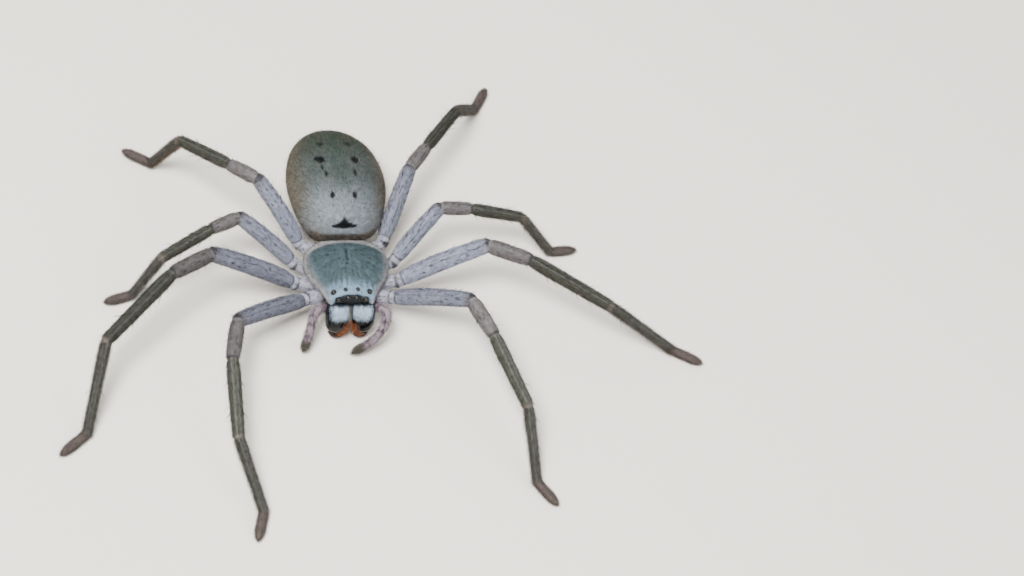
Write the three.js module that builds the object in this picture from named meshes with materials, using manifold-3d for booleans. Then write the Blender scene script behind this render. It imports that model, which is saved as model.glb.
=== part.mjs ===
// A female grey huntsman spider at rest, as a still, life-size model.
// Millimetres, +Z up. The head faces -Y, and left and right are the spider's own.
import * as THREE from 'three';
import { mergeVertices } from 'three/addons/utils/BufferGeometryUtils.js';
import Module from 'manifold-3d';

const wasm = await Module();
wasm.setup();

// Driving dimensions of the body
const CARAPACE_HALF_WIDTH = 7.7;
const CARAPACE_FRONT = -6.4;
const CARAPACE_REAR = 7.3;
const CARAPACE_TOP = 9.5;
const ABDOMEN_HALF_WIDTH = 8.9;
const ABDOMEN_FRONT = 7.65;
const ABDOMEN_REAR = 31.9;
const ABDOMEN_TOP = 13.9;
const ABDOMEN_BOTTOM = 2.2;
const PEDICEL_HEIGHT = 5.9;
const PEDICEL_RADIUS = 1.2;
const SPINNERET_ROOT = [0, 30.0, 4.1];
const SPINNERET_DROOP = 32;
const CHELICERA_TOP = [2.2, -5.3, 6.6];
const CHELICERA_TIP = [2.45, -8.35, 2.1];
const CHELICERA_HALF_WIDTH = 2.04;
const CHELICERA_HALF_DEPTH = 1.85;
const CHELICERA_BULGE = 0.45;
const STERNUM_HEIGHT = 3.85;
const STERNUM_HALF_DEPTH = 1.35;

// Clearance between neighbouring pieces, and round an eye in its socket
const GAP = 0.3;
const SOCKET_GAP = 0.08;

// Sides of the round pieces
const LEG_SIDES = 10;
const BODY_SIDES = 20;

// Height of the middle of a tarsus over the floor, at its heel and at its tip
const HEEL_HEIGHT = 0.82;
const TOE_HEIGHT = 0.74;

// Segment lengths of each pair of legs, from the trochanter out: femur, patella, tibia, metatarsus, tarsus
const LEG_LENGTHS = {
  1: [15.0, 7.6, 14.0, 13.0, 4.8],
  2: [17.2, 7.9, 16.5, 15.9, 5.2],
  3: [12.9, 5.6, 10.2, 10.2, 4.3],
  4: [14.8, 5.8, 11.6, 12.3, 5.1],
};
const LEG_THICKNESS = { 1: 1.0, 2: 1.04, 3: 0.94, 4: 0.96 };

// Where each leg leaves the sternum, and the middle of its trochanter
const HIPS = {
  1: { inner: [3.1, -2.0, 3.9], outer: [7.4, -3.7, 5.3] },
  2: { inner: [3.3, 0.1, 3.8], outer: [8.9, -0.3, 5.3] },
  3: { inner: [3.2, 2.6, 3.8], outer: [8.6, 3.6, 5.3] },
  4: { inner: [2.4, 4.9, 3.9], outer: [7.3, 7.8, 5.3] },
};

// Headings of the five segments in degrees from straight out, minus to the head,
// and the rise of the first three; the last two come down to the floor
const POSE = {
  left_1: { heading: [-21, -67, -70, -83, -57], rise: [24, -2, -12] },
  left_2: { heading: [9, -24, -31, -18, -30], rise: [24, 0, -10] },
  left_3: { heading: [41, -2, -2, -21, 4], rise: [26, -1, -14] },
  left_4: { heading: [65, 51, 52, 49, 59], rise: [19, 2, -5] },
  right_1: { heading: [-27, -78, -90, -109, -74], rise: [16, -2, -10] },
  right_2: { heading: [4, -29, -44, -74, -40], rise: [28, 1, -10] },
  right_3: { heading: [33, -26, -29, -19, -15], rise: [26, 2, -8] },
  right_4: { heading: [40, 37, 46, 38, 32], rise: [46, -4, -18] },
};

// Half widths of the leg segments, and how each swells along its length: pairs of place and share
const SEGMENTS = {
  femur: { radius: 1.62, shape: [[0, 0.8], [0.12, 0.95], [0.38, 1], [0.75, 0.96], [0.92, 0.9], [1, 0.84]] },
  patella: { radius: 1.4, shape: [[0, 0.9], [0.2, 1], [0.6, 1], [0.88, 0.94], [1, 0.88]] },
  tibia: { radius: 1.25, shape: [[0, 0.92], [0.15, 1], [0.5, 0.97], [0.85, 0.92], [1, 0.88]] },
  metatarsus: { radius: 1.02, shape: [[0, 0.95], [0.12, 1], [0.5, 0.9], [0.85, 0.86], [1, 0.86]] },
  tarsus: { radius: 0.92, shape: [[0, 0.95], [0.3, 1], [0.7, 1], [0.9, 0.85], [1, 0.5]] },
};
const TROCHANTER_LENGTH = 1.1;
const FEMUR_BOW = 0.45;

// Paths of the two palps, which are held differently, and their thickness along the path
const PALPS = {
  left: [
    [3.1, -4.2, 3.6], [4.9, -5.4, 4.9], [6.3, -7.0, 5.4],
    [5.7, -9.2, 4.6], [3.9, -11.0, 3.2], [0.2, -12.3, 1.1],
  ],
  right: [
    [-3.1, -4.2, 3.6], [-4.9, -5.4, 4.9], [-6.2, -6.6, 5.4],
    [-6.9, -8.4, 4.4], [-7.5, -10.0, 2.8], [-8.3, -11.6, 1.1],
  ],
};
const PALP_SHAPE = [[0, 0.7], [0.16, 0.85], [0.5, 0.85], [0.62, 0.8], [0.8, 0.85], [0.94, 0.75], [1, 0.45]];

// Eyes of one side: the place on the carapace from above, and the radius
const EYES = {
  front_inner: { x: 0.72, y: -5.75, radius: 0.4 },
  front_outer: { x: 2.4, y: -5.95, radius: 0.46 },
  rear_inner: { x: 1.08, y: -4.4, radius: 0.28 },
  rear_outer: { x: 3.15, y: -4.65, radius: 0.42 },
};

const COLOURS = {
  carapace: 0x72869a,
  sternum: 0x6f6a66,
  abdomen: 0x6f7a76,
  spinnerets: 0x5a5450,
  chelicera: 0x2a2c30,
  fang: 0x5e2c1c,
  palp: 0xa89aa0,
  eye: 0x0a0a0c,
  coxa: 0xa0a2ac,
  femur: 0x8a96a4,
  patella: 0x77736b,
  tibia: 0x5f6258,
  foot: 0x6b6658,
};

function material(colour, roughness = 0.75) {
  return new THREE.MeshStandardMaterial({ color: colour, roughness, metalness: 0 });
}

function namedMesh(name, geometry, colour, roughness) {
  const mesh = new THREE.Mesh(geometry, material(colour, roughness));
  mesh.name = name;
  return mesh;
}

// A smooth curve through pairs of place and value, which holds its end values outside them.
function curveThrough(pairs) {
  return (at) => {
    const last = pairs.length - 1;
    if (at <= pairs[0][0]) return pairs[0][1];
    if (at >= pairs[last][0]) return pairs[last][1];
    const i = pairs.findIndex(([place]) => place >= at) - 1;
    const [x0, y0] = pairs[i];
    const [x1, y1] = pairs[i + 1];
    const slope = (a, b) => (pairs[b][1] - pairs[a][1]) / (pairs[b][0] - pairs[a][0]);
    const m0 = slope(Math.max(i - 1, 0), i + 1);
    const m1 = slope(i, Math.min(i + 2, last));
    const h = x1 - x0;
    const t = (at - x0) / h;
    const start = y0 * (1 + 2 * t) * (1 - t) ** 2 + h * m0 * t * (1 - t) ** 2;
    const end = y1 * t * t * (3 - 2 * t) + h * m1 * t * t * (t - 1);
    return start + end;
  };
}

// A closed body through rings of points that turn right-handed about the way they follow each other.
function loft(rings) {
  const sides = rings[0].length;
  const points = rings.flat();
  const index = [];
  for (let r = 0; r + 1 < rings.length; r += 1) {
    for (let i = 0; i < sides; i += 1) {
      const a = r * sides + i;
      const b = r * sides + ((i + 1) % sides);
      index.push(a, b, b + sides, a, b + sides, a + sides);
    }
  }
  const addCap = (ring, first, forward) => {
    const middle = ring.reduce((sum, p) => sum.add(p), new THREE.Vector3()).divideScalar(sides);
    const hub = points.push(middle) - 1;
    for (let i = 0; i < sides; i += 1) {
      const a = first + i;
      const b = first + ((i + 1) % sides);
      index.push(...(forward ? [hub, a, b] : [hub, b, a]));
    }
  };
  addCap(rings[0], 0, false);
  addCap(rings.at(-1), (rings.length - 1) * sides, true);
  const geometry = new THREE.BufferGeometry().setFromPoints(points);
  geometry.setIndex(index);
  geometry.computeVertexNormals();
  return geometry;
}

// The two directions across a heading: level to its left, and up.
function acrossAxes(direction) {
  const side = new THREE.Vector3(0, 0, 1).cross(direction).normalize();
  const up = direction.clone().cross(side).normalize();
  return { side, up };
}

// An offset on an ellipse across a heading, at a turn of 0 to 1 round it.
function onEllipse({ side, up }, halfWidth, halfHeight, turn) {
  const angle = turn * 2 * Math.PI;
  const across = side.clone().multiplyScalar(halfWidth * Math.cos(angle));
  return across.addScaledVector(up, halfHeight * Math.sin(angle));
}

function turns(sides) {
  return Array.from({ length: sides }, (_, i) => i / sides);
}

// A tube through points, round in section; its last end face can be square to a given direction.
function tubeAlong(points, radiusAt, { sides = LEG_SIDES, steps = 10, endWay } = {}) {
  const curve = new THREE.CatmullRomCurve3(points);
  const rings = [];
  for (let s = 0; s <= steps; s += 1) {
    const t = s / steps;
    const way = s === steps && endWay ? endWay : curve.getTangentAt(t);
    const axes = acrossAxes(way);
    const middle = curve.getPointAt(t);
    const radius = radiusAt(t);
    rings.push(turns(sides).map((turn) => onEllipse(axes, radius, radius, turn).add(middle)));
  }
  return loft(rings);
}

function toSolid(geometry) {
  const bare = geometry.clone();
  bare.deleteAttribute('normal');
  bare.deleteAttribute('uv');
  const merged = mergeVertices(bare);
  return new wasm.Manifold(new wasm.Mesh({
    numProp: 3,
    vertProperties: merged.attributes.position.array,
    triVerts: new Uint32Array(merged.index.array),
  }));
}

function toGeometry(solid) {
  const mesh = solid.getMesh();
  const geometry = new THREE.BufferGeometry();
  geometry.setAttribute('position', new THREE.BufferAttribute(mesh.vertProperties, 3));
  geometry.setIndex(new THREE.BufferAttribute(mesh.triVerts, 1));
  geometry.computeVertexNormals();
  return geometry;
}

function cutAway(geometry, cutters) {
  const solid = cutters.reduce((left, cutter) => left.subtract(toSolid(cutter)), toSolid(geometry));
  return toGeometry(solid);
}

// A direction from a heading and a rise in degrees; side is 1 on the left and -1 on the right.
function direction(heading, rise, side) {
  const h = THREE.MathUtils.degToRad(heading);
  const r = THREE.MathUtils.degToRad(rise);
  return new THREE.Vector3(side * Math.cos(h) * Math.cos(r), Math.sin(h) * Math.cos(r), Math.sin(r));
}

function mirrored([x, y, z], side) {
  return new THREE.Vector3(side * x, y, z);
}

// The joints and segment directions of one leg, with the tarsus brought down to the floor.
function legPath(sideName, pair) {
  const side = sideName === 'left' ? 1 : -1;
  const { heading, rise } = POSE[`${sideName}_${pair}`];
  const lengths = LEG_LENGTHS[pair];
  const joints = [mirrored(HIPS[pair].outer, side)];
  const ways = [];
  const addSegment = (i, pitch) => {
    const way = direction(heading[i], pitch, side);
    ways.push(way);
    joints.push(joints.at(-1).clone().addScaledVector(way, lengths[i]));
  };
  const reach = (i, height) => {
    const drop = Math.asin((height - joints.at(-1).z) / lengths[i]);
    addSegment(i, THREE.MathUtils.radToDeg(drop));
  };
  rise.forEach((pitch, i) => addSegment(i, pitch));
  reach(3, HEEL_HEIGHT);
  reach(4, TOE_HEIGHT);
  return { side, joints, ways, thickness: LEG_THICKNESS[pair] };
}

// The plane that halves the bend at a joint, moved along the leg by an offset.
function mitre(joint, wayIn, wayOut, offset) {
  const normal = wayIn.clone().add(wayOut).normalize();
  return { point: joint.clone().addScaledVector(normal, offset), normal };
}

// Rings of a straight segment whose ends are sheared onto two planes.
function segmentRings(start, end, kind, thickness, startCut, endCut, bow = 0) {
  const { radius, shape } = SEGMENTS[kind];
  const span = end.clone().sub(start);
  const length = span.length();
  const way = span.normalize();
  const axes = acrossAxes(way);
  const shearReach = Math.min(2.4 * radius, 0.45 * length);
  const reachPlane = (from, cut) => cut.point.clone().sub(from).dot(cut.normal) / way.dot(cut.normal);
  return shape.map(([place, share]) => turns(LEG_SIDES).map((turn) => {
    const swelling = radius * share * thickness;
    const offset = onEllipse(axes, swelling, swelling, turn);
    const along = place * length;
    const startShare = Math.max(0, 1 - along / shearReach);
    const endShare = Math.max(0, 1 - (length - along) / shearReach);
    const startShift = startShare * reachPlane(start.clone().add(offset), startCut);
    const endShift = endShare * reachPlane(end.clone().add(offset), endCut);
    const lift = bow * 4 * place * (1 - place);
    const reach = along + startShift + endShift;
    return start.clone().add(offset).addScaledVector(way, reach).addScaledVector(axes.up, lift);
  }));
}

// The coxa and the trochanter, grown by a margin where they are used as a cutter.
function coxa(leg, pair, margin = 0) {
  const inner = mirrored(HIPS[pair].inner, leg.side);
  const [hip] = leg.joints;
  const out = hip.clone().addScaledVector(leg.ways[0], TROCHANTER_LENGTH);
  const middle = inner.clone().lerp(hip, 0.62);
  const radiusAt = curveThrough([[0, 0.95], [0.35, 1.3], [0.6, 1.38], [0.72, 1.2], [0.84, 1.32], [1, 1.22]]);
  const grownRadius = (t) => radiusAt(t) * leg.thickness + margin;
  const steps = margin > 0 ? 4 : 7;
  return tubeAlong([inner, middle, hip, out], grownRadius, { steps, endWay: leg.ways[0] });
}

function upperSegment(leg, kind, order) {
  const { joints, ways } = leg;
  const start = joints[order].clone();
  const isFemur = order === 0;
  if (isFemur) start.addScaledVector(ways[0], TROCHANTER_LENGTH + GAP);
  const squareCut = { point: start, normal: ways[0] };
  const startCut = isFemur ? squareCut : mitre(joints[order], ways[order - 1], ways[order], GAP / 2);
  const endCut = mitre(joints[order + 1], ways[order], ways[order + 1], -GAP / 2);
  const bow = isFemur ? FEMUR_BOW : 0;
  return loft(segmentRings(start, joints[order + 1], kind, leg.thickness, startCut, endCut, bow));
}

// The metatarsus and the tarsus in one piece, with a flat sole on the floor.
function foot(leg) {
  const { joints, ways, thickness } = leg;
  const ankle = mitre(joints[4], ways[3], ways[4], 0);
  const top = mitre(joints[3], ways[2], ways[3], GAP / 2);
  const toe = { point: joints[5], normal: ways[4] };
  const upper = segmentRings(joints[3], joints[4], 'metatarsus', thickness, top, ankle);
  const lower = segmentRings(joints[4], joints[5], 'tarsus', 1, ankle, toe);
  const rings = [...upper, ...lower.slice(1)];
  rings.flat().forEach((point) => point.setZ(Math.max(point.z, 0)));
  return loft(rings);
}

// The carapace from above and from the side, as curves over its length
const carapaceHalfWidth = curveThrough([
  [CARAPACE_FRONT, 3.4], [-5.9, 4.15], [-4.7, 4.6], [-3, 5.5], [-0.6, 7.05],
  [2.3, CARAPACE_HALF_WIDTH], [5, 6.9], [6.6, 5.3], [CARAPACE_REAR, 4.1],
]);
const carapaceTop = curveThrough([
  [CARAPACE_FRONT, 7.8], [-5.9, 8.65], [-4.7, 9.2], [-2.5, CARAPACE_TOP],
  [2, 9.35], [5, 8.7], [CARAPACE_REAR, 7.4],
]);
const carapaceRim = curveThrough([[CARAPACE_FRONT, 7.2], [-4, 7.05], [0, 6.8], [CARAPACE_REAR, 6.75]]);
const carapaceBase = curveThrough([
  [CARAPACE_FRONT, 6.9], [-4.8, 6.5], [-3, 5.6], [6, 5.5], [CARAPACE_REAR, 6.2],
]);

// One cross-section of the carapace: a dome over a level rim, with a flatter underside.
function carapaceRing(y) {
  const squareness = y < -3 ? 0.8 : 0.92;
  return turns(BODY_SIDES).map((turn) => {
    const c = Math.cos(turn * 2 * Math.PI);
    const s = Math.sin(turn * 2 * Math.PI);
    const x = -carapaceHalfWidth(y) * Math.sign(c) * Math.abs(c) ** squareness;
    const height = s > 0 ? carapaceTop(y) - carapaceRim(y) : carapaceRim(y) - carapaceBase(y);
    return new THREE.Vector3(x, y, carapaceRim(y) + Math.sign(s) * height * Math.abs(s) ** 0.8);
  });
}

function carapaceShell() {
  const between = [-6.1, -5.5, -4.7, -3.6, -2.2, -0.6, 1, 2.6, 4.2, 5.6, 6.6];
  return loft([CARAPACE_FRONT, ...between, CARAPACE_REAR].map(carapaceRing));
}

// Height of the carapace over a point on it.
function carapaceHeight(x, y) {
  const across = Math.min(1, Math.abs(x) / carapaceHalfWidth(y)) ** (1 / 0.8);
  const rise = Math.sqrt(1 - across * across) ** 0.8;
  return carapaceRim(y) + (carapaceTop(y) - carapaceRim(y)) * rise;
}

function eyeBall({ x, y, radius }, side, margin = 0) {
  const ball = new THREE.SphereGeometry(radius + margin, 8, 6);
  ball.rotateX(Math.PI / 2);
  ball.translate(side * x, y, carapaceHeight(x, y) - 0.25 * radius);
  return ball;
}

function sternumPlate() {
  const halfWidth = curveThrough([
    [-4.4, 0.9], [-3.2, 1.7], [-2, 2.6], [0.5, 3.3], [3, 2.9], [5.2, 1.6], [6.2, 0.5],
  ]);
  const stations = [-4.4, -3.4, -2, -0.4, 1.2, 2.8, 4.2, 5.4, 6.2];
  return loft(stations.map((y) => turns(16).map((turn) => {
    const angle = turn * 2 * Math.PI;
    const halfDepth = STERNUM_HALF_DEPTH - 0.03 * (y - 1) ** 2;
    const x = -halfWidth(y) * Math.cos(angle);
    return new THREE.Vector3(x, y, STERNUM_HEIGHT + halfDepth * Math.sin(angle));
  })));
}

// The abdomen as curves over its length, from the pedicel to the tip
const abdomenHalfWidth = curveThrough([
  [0, 4.4], [0.03, 5.8], [0.1, 6.95], [0.25, 8.2], [0.45, ABDOMEN_HALF_WIDTH],
  [0.65, 8.4], [0.82, 7.0], [0.94, 4.8], [1, 2.6],
]);
const abdomenTop = curveThrough([
  [0, 9.2], [0.03, 10.8], [0.1, 12.6], [0.28, ABDOMEN_TOP],
  [0.5, 13.2], [0.75, 11.0], [0.92, 8.4], [1, 6.9],
]);
const abdomenBottom = curveThrough([
  [0, 4.9], [0.05, 3.9], [0.2, 2.7], [0.5, ABDOMEN_BOTTOM], [0.78, 2.6], [0.9, 3.7], [1, 4.9],
]);

function abdomenRing(share, margin) {
  const y = THREE.MathUtils.lerp(ABDOMEN_FRONT + GAP, ABDOMEN_REAR + margin, share);
  const halfWidth = abdomenHalfWidth(share) + margin;
  const halfHeight = (abdomenTop(share) - abdomenBottom(share)) / 2 + margin;
  const middle = (abdomenTop(share) + abdomenBottom(share)) / 2;
  return turns(BODY_SIDES).map((turn) => {
    const angle = turn * 2 * Math.PI;
    return new THREE.Vector3(-halfWidth * Math.cos(angle), y, middle + halfHeight * Math.sin(angle));
  });
}

// The abdomen, grown by a margin where it is used as a cutter.
function abdomen(margin = 0) {
  const pedicelRing = (y, radius) => turns(BODY_SIDES).map((turn) => {
    const angle = turn * 2 * Math.PI;
    return new THREE.Vector3(-radius * Math.cos(angle), y, PEDICEL_HEIGHT + radius * Math.sin(angle));
  });
  const stations = [0, 0.03, 0.08, 0.16, 0.27, 0.4, 0.54, 0.67, 0.8, 0.9, 0.97, 1];
  const waist = pedicelRing(ABDOMEN_FRONT, PEDICEL_RADIUS);
  return loft([waist, ...stations.map((share) => abdomenRing(share, margin))]);
}

// Four short finger-like spinnerets on a knob, pointing back and down from under the tip of the abdomen.
function spinnerets() {
  const place = new THREE.Matrix4().makeRotationX(THREE.MathUtils.degToRad(-SPINNERET_DROOP));
  place.setPosition(...SPINNERET_ROOT);
  const finger = (x, z, reach) => {
    const cone = new THREE.CylinderGeometry(0.3, 0.5, reach, 6);
    cone.translate(x, reach / 2, z);
    return toSolid(cone);
  };
  const knob = toSolid(new THREE.CylinderGeometry(0.8, 1.15, 1.8, 10));
  const fingers = [1, -1].flatMap((side) => [finger(side * 0.45, -0.35, 2.1), finger(side * 0.4, 0.4, 1.7)]);
  const cluster = toGeometry(fingers.reduce((joined, one) => joined.add(one), knob)).applyMatrix4(place);
  return cutAway(cluster, [abdomen(GAP)]);
}

// The stout basal part of a chelicera, grown by a margin where it is used as a cutter.
function chelicera(side, margin = 0) {
  const top = mirrored(CHELICERA_TOP, side);
  const tip = mirrored(CHELICERA_TIP, side);
  const way = tip.clone().sub(top).normalize();
  const across = new THREE.Vector3(1, 0, 0);
  const front = way.clone().cross(across).normalize();
  const length = tip.distanceTo(top);
  const swell = [[-0.06, 0.72], [0.04, 0.88], [0.22, 1], [0.5, 1], [0.76, 0.9], [0.93, 0.68], [1, 0.42]];
  return loft(swell.map(([place, share]) => turns(16).map((turn) => {
    const angle = turn * 2 * Math.PI;
    const bulge = CHELICERA_BULGE * Math.sin(Math.PI * Math.min(1, Math.max(0, place + 0.15)));
    return top.clone()
      .addScaledVector(way, place * length)
      .addScaledVector(across, (CHELICERA_HALF_WIDTH * share + margin) * Math.cos(angle))
      .addScaledVector(front, (CHELICERA_HALF_DEPTH * share + margin) * Math.sin(angle) + bulge);
  })));
}

// A fang folded in under the chelicera.
function fang(side) {
  const path = [[3.25, -7.8, 1.55], [2.75, -8.4, 1.0], [1.75, -8.55, 0.82], [0.75, -8.25, 0.85]];
  const radiusAt = curveThrough([[0, 0.5], [0.5, 0.42], [1, 0.26]]);
  return tubeAlong(path.map((point) => mirrored(point, side)), radiusAt, { sides: 8, steps: 5 });
}

function palp(sideName, margin = 0) {
  const points = PALPS[sideName].map((point) => new THREE.Vector3(...point));
  const radiusAt = curveThrough(PALP_SHAPE);
  const steps = margin > 0 ? 7 : 13;
  return tubeAlong(points, (t) => radiusAt(t) + margin, { steps });
}

function addLegs(spider) {
  const upperKinds = ['femur', 'patella', 'tibia'];
  for (const sideName of ['left', 'right']) {
    for (const pair of [1, 2, 3, 4]) {
      const leg = legPath(sideName, pair);
      const name = `${sideName}_leg_${pair}`;
      spider.add(namedMesh(`${name}_coxa`, coxa(leg, pair), COLOURS.coxa));
      upperKinds.forEach((kind, order) => {
        spider.add(namedMesh(`${name}_${kind}`, upperSegment(leg, kind, order), COLOURS[kind]));
      });
      spider.add(namedMesh(`${name}_foot`, foot(leg), COLOURS.foot));
    }
  }
}

function addEyes(spider) {
  for (const [sideName, side] of [['left', 1], ['right', -1]]) {
    for (const [row, eye] of Object.entries(EYES)) {
      spider.add(namedMesh(`eye_${row}_${sideName}`, eyeBall(eye, side), COLOURS.eye, 0.08));
    }
  }
}

// The pieces that the carapace and the sternum make room for, grown by the gap.
function neighbours() {
  const grown = [];
  for (const [sideName, side] of [['left', 1], ['right', -1]]) {
    for (const pair of [1, 2, 3, 4]) grown.push(coxa(legPath(sideName, pair), pair, GAP));
    grown.push(chelicera(side, GAP));
    grown.push(palp(sideName, GAP));
  }
  return grown;
}

function addBody(spider) {
  const eyes = Object.values(EYES);
  const sockets = [1, -1].flatMap((side) => eyes.map((eye) => eyeBall(eye, side, SOCKET_GAP)));
  const around = neighbours();
  spider.add(namedMesh('carapace', cutAway(carapaceShell(), [...around, ...sockets]), COLOURS.carapace));
  spider.add(namedMesh('sternum', cutAway(sternumPlate(), around), COLOURS.sternum));
  spider.add(namedMesh('abdomen', abdomen(), COLOURS.abdomen));
  spider.add(namedMesh('spinnerets', spinnerets(), COLOURS.spinnerets));
}

function addMouthparts(spider) {
  for (const [sideName, side] of [['left', 1], ['right', -1]]) {
    spider.add(namedMesh(`${sideName}_chelicera`, chelicera(side), COLOURS.chelicera, 0.3));
    spider.add(namedMesh(`${sideName}_fang`, fang(side), COLOURS.fang, 0.25));
    spider.add(namedMesh(`${sideName}_palp`, palp(sideName), COLOURS.palp));
  }
}

// Sets the origin on the floor, under the middle of the spider.
function centreOnFloor(spider) {
  const box = new THREE.Box3().setFromObject(spider);
  const middle = box.getCenter(new THREE.Vector3());
  spider.position.set(-middle.x, -middle.y, -box.min.z);
}

const spider = new THREE.Group();
addBody(spider);
addEyes(spider);
addMouthparts(spider);
addLegs(spider);
centreOnFloor(spider);

export default spider;
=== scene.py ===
import math

import bpy
import numpy as np
from mathutils import Matrix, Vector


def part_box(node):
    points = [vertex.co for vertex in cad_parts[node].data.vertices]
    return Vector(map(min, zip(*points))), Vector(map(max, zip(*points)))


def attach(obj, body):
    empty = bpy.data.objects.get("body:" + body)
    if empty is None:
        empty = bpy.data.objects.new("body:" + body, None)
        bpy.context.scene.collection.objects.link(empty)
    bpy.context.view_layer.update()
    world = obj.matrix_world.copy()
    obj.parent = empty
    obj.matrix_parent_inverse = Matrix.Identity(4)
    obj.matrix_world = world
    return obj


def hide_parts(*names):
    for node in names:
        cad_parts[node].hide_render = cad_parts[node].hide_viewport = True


# A female grey huntsman spider at rest: one skin under a coat of short hair, with hard eyes, jaws and claws
# Shapes are worked out in millimetres, with the midline at x = 0, the head towards -Y and its left at +X

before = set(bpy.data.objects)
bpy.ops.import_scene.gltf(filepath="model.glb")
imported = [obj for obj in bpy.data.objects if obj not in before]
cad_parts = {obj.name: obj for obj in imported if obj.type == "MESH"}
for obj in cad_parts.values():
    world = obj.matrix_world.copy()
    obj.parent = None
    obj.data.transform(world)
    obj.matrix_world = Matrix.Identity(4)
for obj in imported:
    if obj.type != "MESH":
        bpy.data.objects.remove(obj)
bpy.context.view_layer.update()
rng = np.random.default_rng(11)

SIDES = {"left": 1, "right": -1}
PAIRS = (1, 2, 3, 4)
KINDS = [
    "abdomen", "carapace", "sternum", "coxa", "femur", "patella",
    "tibia", "metatarsus", "tarsus", "palp", "spinneret",
]
CODE = {kind: code for code, kind in enumerate(KINDS)}

# How deep the skin lies under the tips of the coat
COAT_DEPTH = {"body": 0.22, "carapace": 0.2, "leg": 0.22, "palp": 0.2}
VOXEL = 0.25
# How dark the skin is painted under its coat, against the coat: a painted shade under the hair
SKIN_SHADE = 0.8
# The lowest that skin, claws and hair may reach above the floor
LOWEST_SKIN, LOWEST_CLAW, LOWEST_HAIR = 0.08, 0.12, 0.01
# Points within so many radii of a limb's axis belong to the limb; points are measured so many at a time
LIMB_REACH, BATCH = 1.22, 8000
# How often the steps of the remeshed skin are smoothed
SMOOTHING_ROUNDS = 5
# Bare skin round an eye, and at each end of a leg segment
BARE_ROUND_EYE, BARE_JOINT = 0.16, 0.22

CARAPACE_FRONT, CARAPACE_REAR = -6.4, 7.3
ABDOMEN_FRONT, ABDOMEN_REAR = 7.95, 31.9
PEDICEL_FRONT = 7.65
# The skin of the front half below this height is the sternum's
STERNUM_TOP = 5.6
LEG_LENGTHS = {
    1: [15.0, 7.6, 14.0, 13.0, 4.8],
    2: [17.2, 7.9, 16.5, 15.9, 5.2],
    3: [12.9, 5.6, 10.2, 10.2, 4.3],
    4: [14.8, 5.8, 11.6, 12.3, 5.1],
}
LEG_THICKNESS = {1: 1.0, 2: 1.04, 3: 0.94, 4: 0.96}
HIPS = {
    1: ([3.1, -2.0, 3.9], [7.4, -3.7, 5.3]),
    2: ([3.3, 0.1, 3.8], [8.9, -0.3, 5.3]),
    3: ([3.2, 2.6, 3.8], [8.6, 3.6, 5.3]),
    4: ([2.4, 4.9, 3.9], [7.3, 7.8, 5.3]),
}
# Headings of the five segments in degrees from straight out, minus to the head, and rises of the first three
POSE = {
    ("left", 1): ([-21, -67, -70, -83, -57], [24, -2, -12]),
    ("left", 2): ([9, -24, -31, -18, -30], [24, 0, -10]),
    ("left", 3): ([41, -2, -2, -21, 4], [26, -1, -14]),
    ("left", 4): ([65, 51, 52, 49, 59], [19, 2, -5]),
    ("right", 1): ([-27, -78, -90, -109, -74], [16, -2, -10]),
    ("right", 2): ([4, -29, -44, -74, -40], [28, 1, -10]),
    ("right", 3): ([33, -26, -29, -19, -15], [26, 2, -8]),
    ("right", 4): ([40, 37, 46, 38, 32], [46, -4, -18]),
}
SEGMENTS = {
    "femur": (1.62, [[0, 0.8], [0.12, 0.95], [0.38, 1], [0.75, 0.96], [0.92, 0.9], [1, 0.84]]),
    "patella": (1.4, [[0, 0.86], [0.2, 1], [0.6, 1], [0.88, 0.94], [1, 0.84]]),
    "tibia": (1.25, [[0, 0.86], [0.15, 1], [0.5, 0.97], [0.85, 0.92], [1, 0.86]]),
    "metatarsus": (1.02, [[0, 0.9], [0.12, 1], [0.5, 0.9], [0.85, 0.86], [1, 0.86]]),
    "tarsus": (0.92, [[0, 0.95], [0.3, 1], [0.7, 1], [0.9, 0.85], [1, 0.6]]),
}
COXA_SHAPE = [[0, 0.95], [0.35, 1.3], [0.6, 1.38], [0.72, 1.2], [0.84, 1.32], [1, 1.22]]
TROCHANTER_LENGTH = 1.1
# Points round each ring of a limb, and points along the line of a coxa, a palp and a fang
LIMB_SIDES = 24
COXA_POINTS, PALP_POINTS, FANG_POINTS = 26, 60, 36
FEMUR_BOW = 0.45
HEEL_HEIGHT, TOE_HEIGHT = 0.82, 0.74
PALPS = {
    "left": [
        [3.1, -4.2, 3.6], [4.9, -5.4, 4.9], [6.3, -7.0, 5.4], [5.7, -9.2, 4.6], [3.9, -11.0, 3.2],
        [0.2, -12.3, 1.1],
    ],
    "right": [
        [-3.1, -4.2, 3.6], [-4.9, -5.4, 4.9], [-6.2, -6.6, 5.4], [-6.9, -8.4, 4.4], [-7.5, -10.0, 2.8],
        [-8.3, -11.6, 1.1],
    ],
}
PALP_SHAPE = [[0, 0.7], [0.16, 0.85], [0.5, 0.85], [0.62, 0.8], [0.8, 0.85], [0.94, 0.75], [1, 0.45]]
PALP_CREASES = (0.2, 0.44, 0.56, 0.76)
CHELICERA_TOP, CHELICERA_TIP = [2.2, -5.3, 6.6], [2.45, -8.35, 2.1]
CHELICERA_HALF_WIDTH, CHELICERA_HALF_DEPTH = 2.04, 1.85
CHELICERA_SHAPE = [[-0.06, 0.72], [0.04, 0.88], [0.22, 1], [0.5, 1], [0.76, 0.9], [0.93, 0.68], [1, 0.42]]
FANG_PATH = [[3.25, -7.8, 1.55], [2.75, -8.4, 1.0], [1.75, -8.55, 0.82], [0.75, -8.25, 0.85]]
# Eyes of one side: the place on the carapace from above, and the radius
EYES = {
    "front_inner": (0.72, -5.75, 0.4),
    "front_outer": (2.4, -5.95, 0.46),
    "rear_inner": (1.08, -4.4, 0.28),
    "rear_outer": (3.15, -4.65, 0.42),
}


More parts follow.
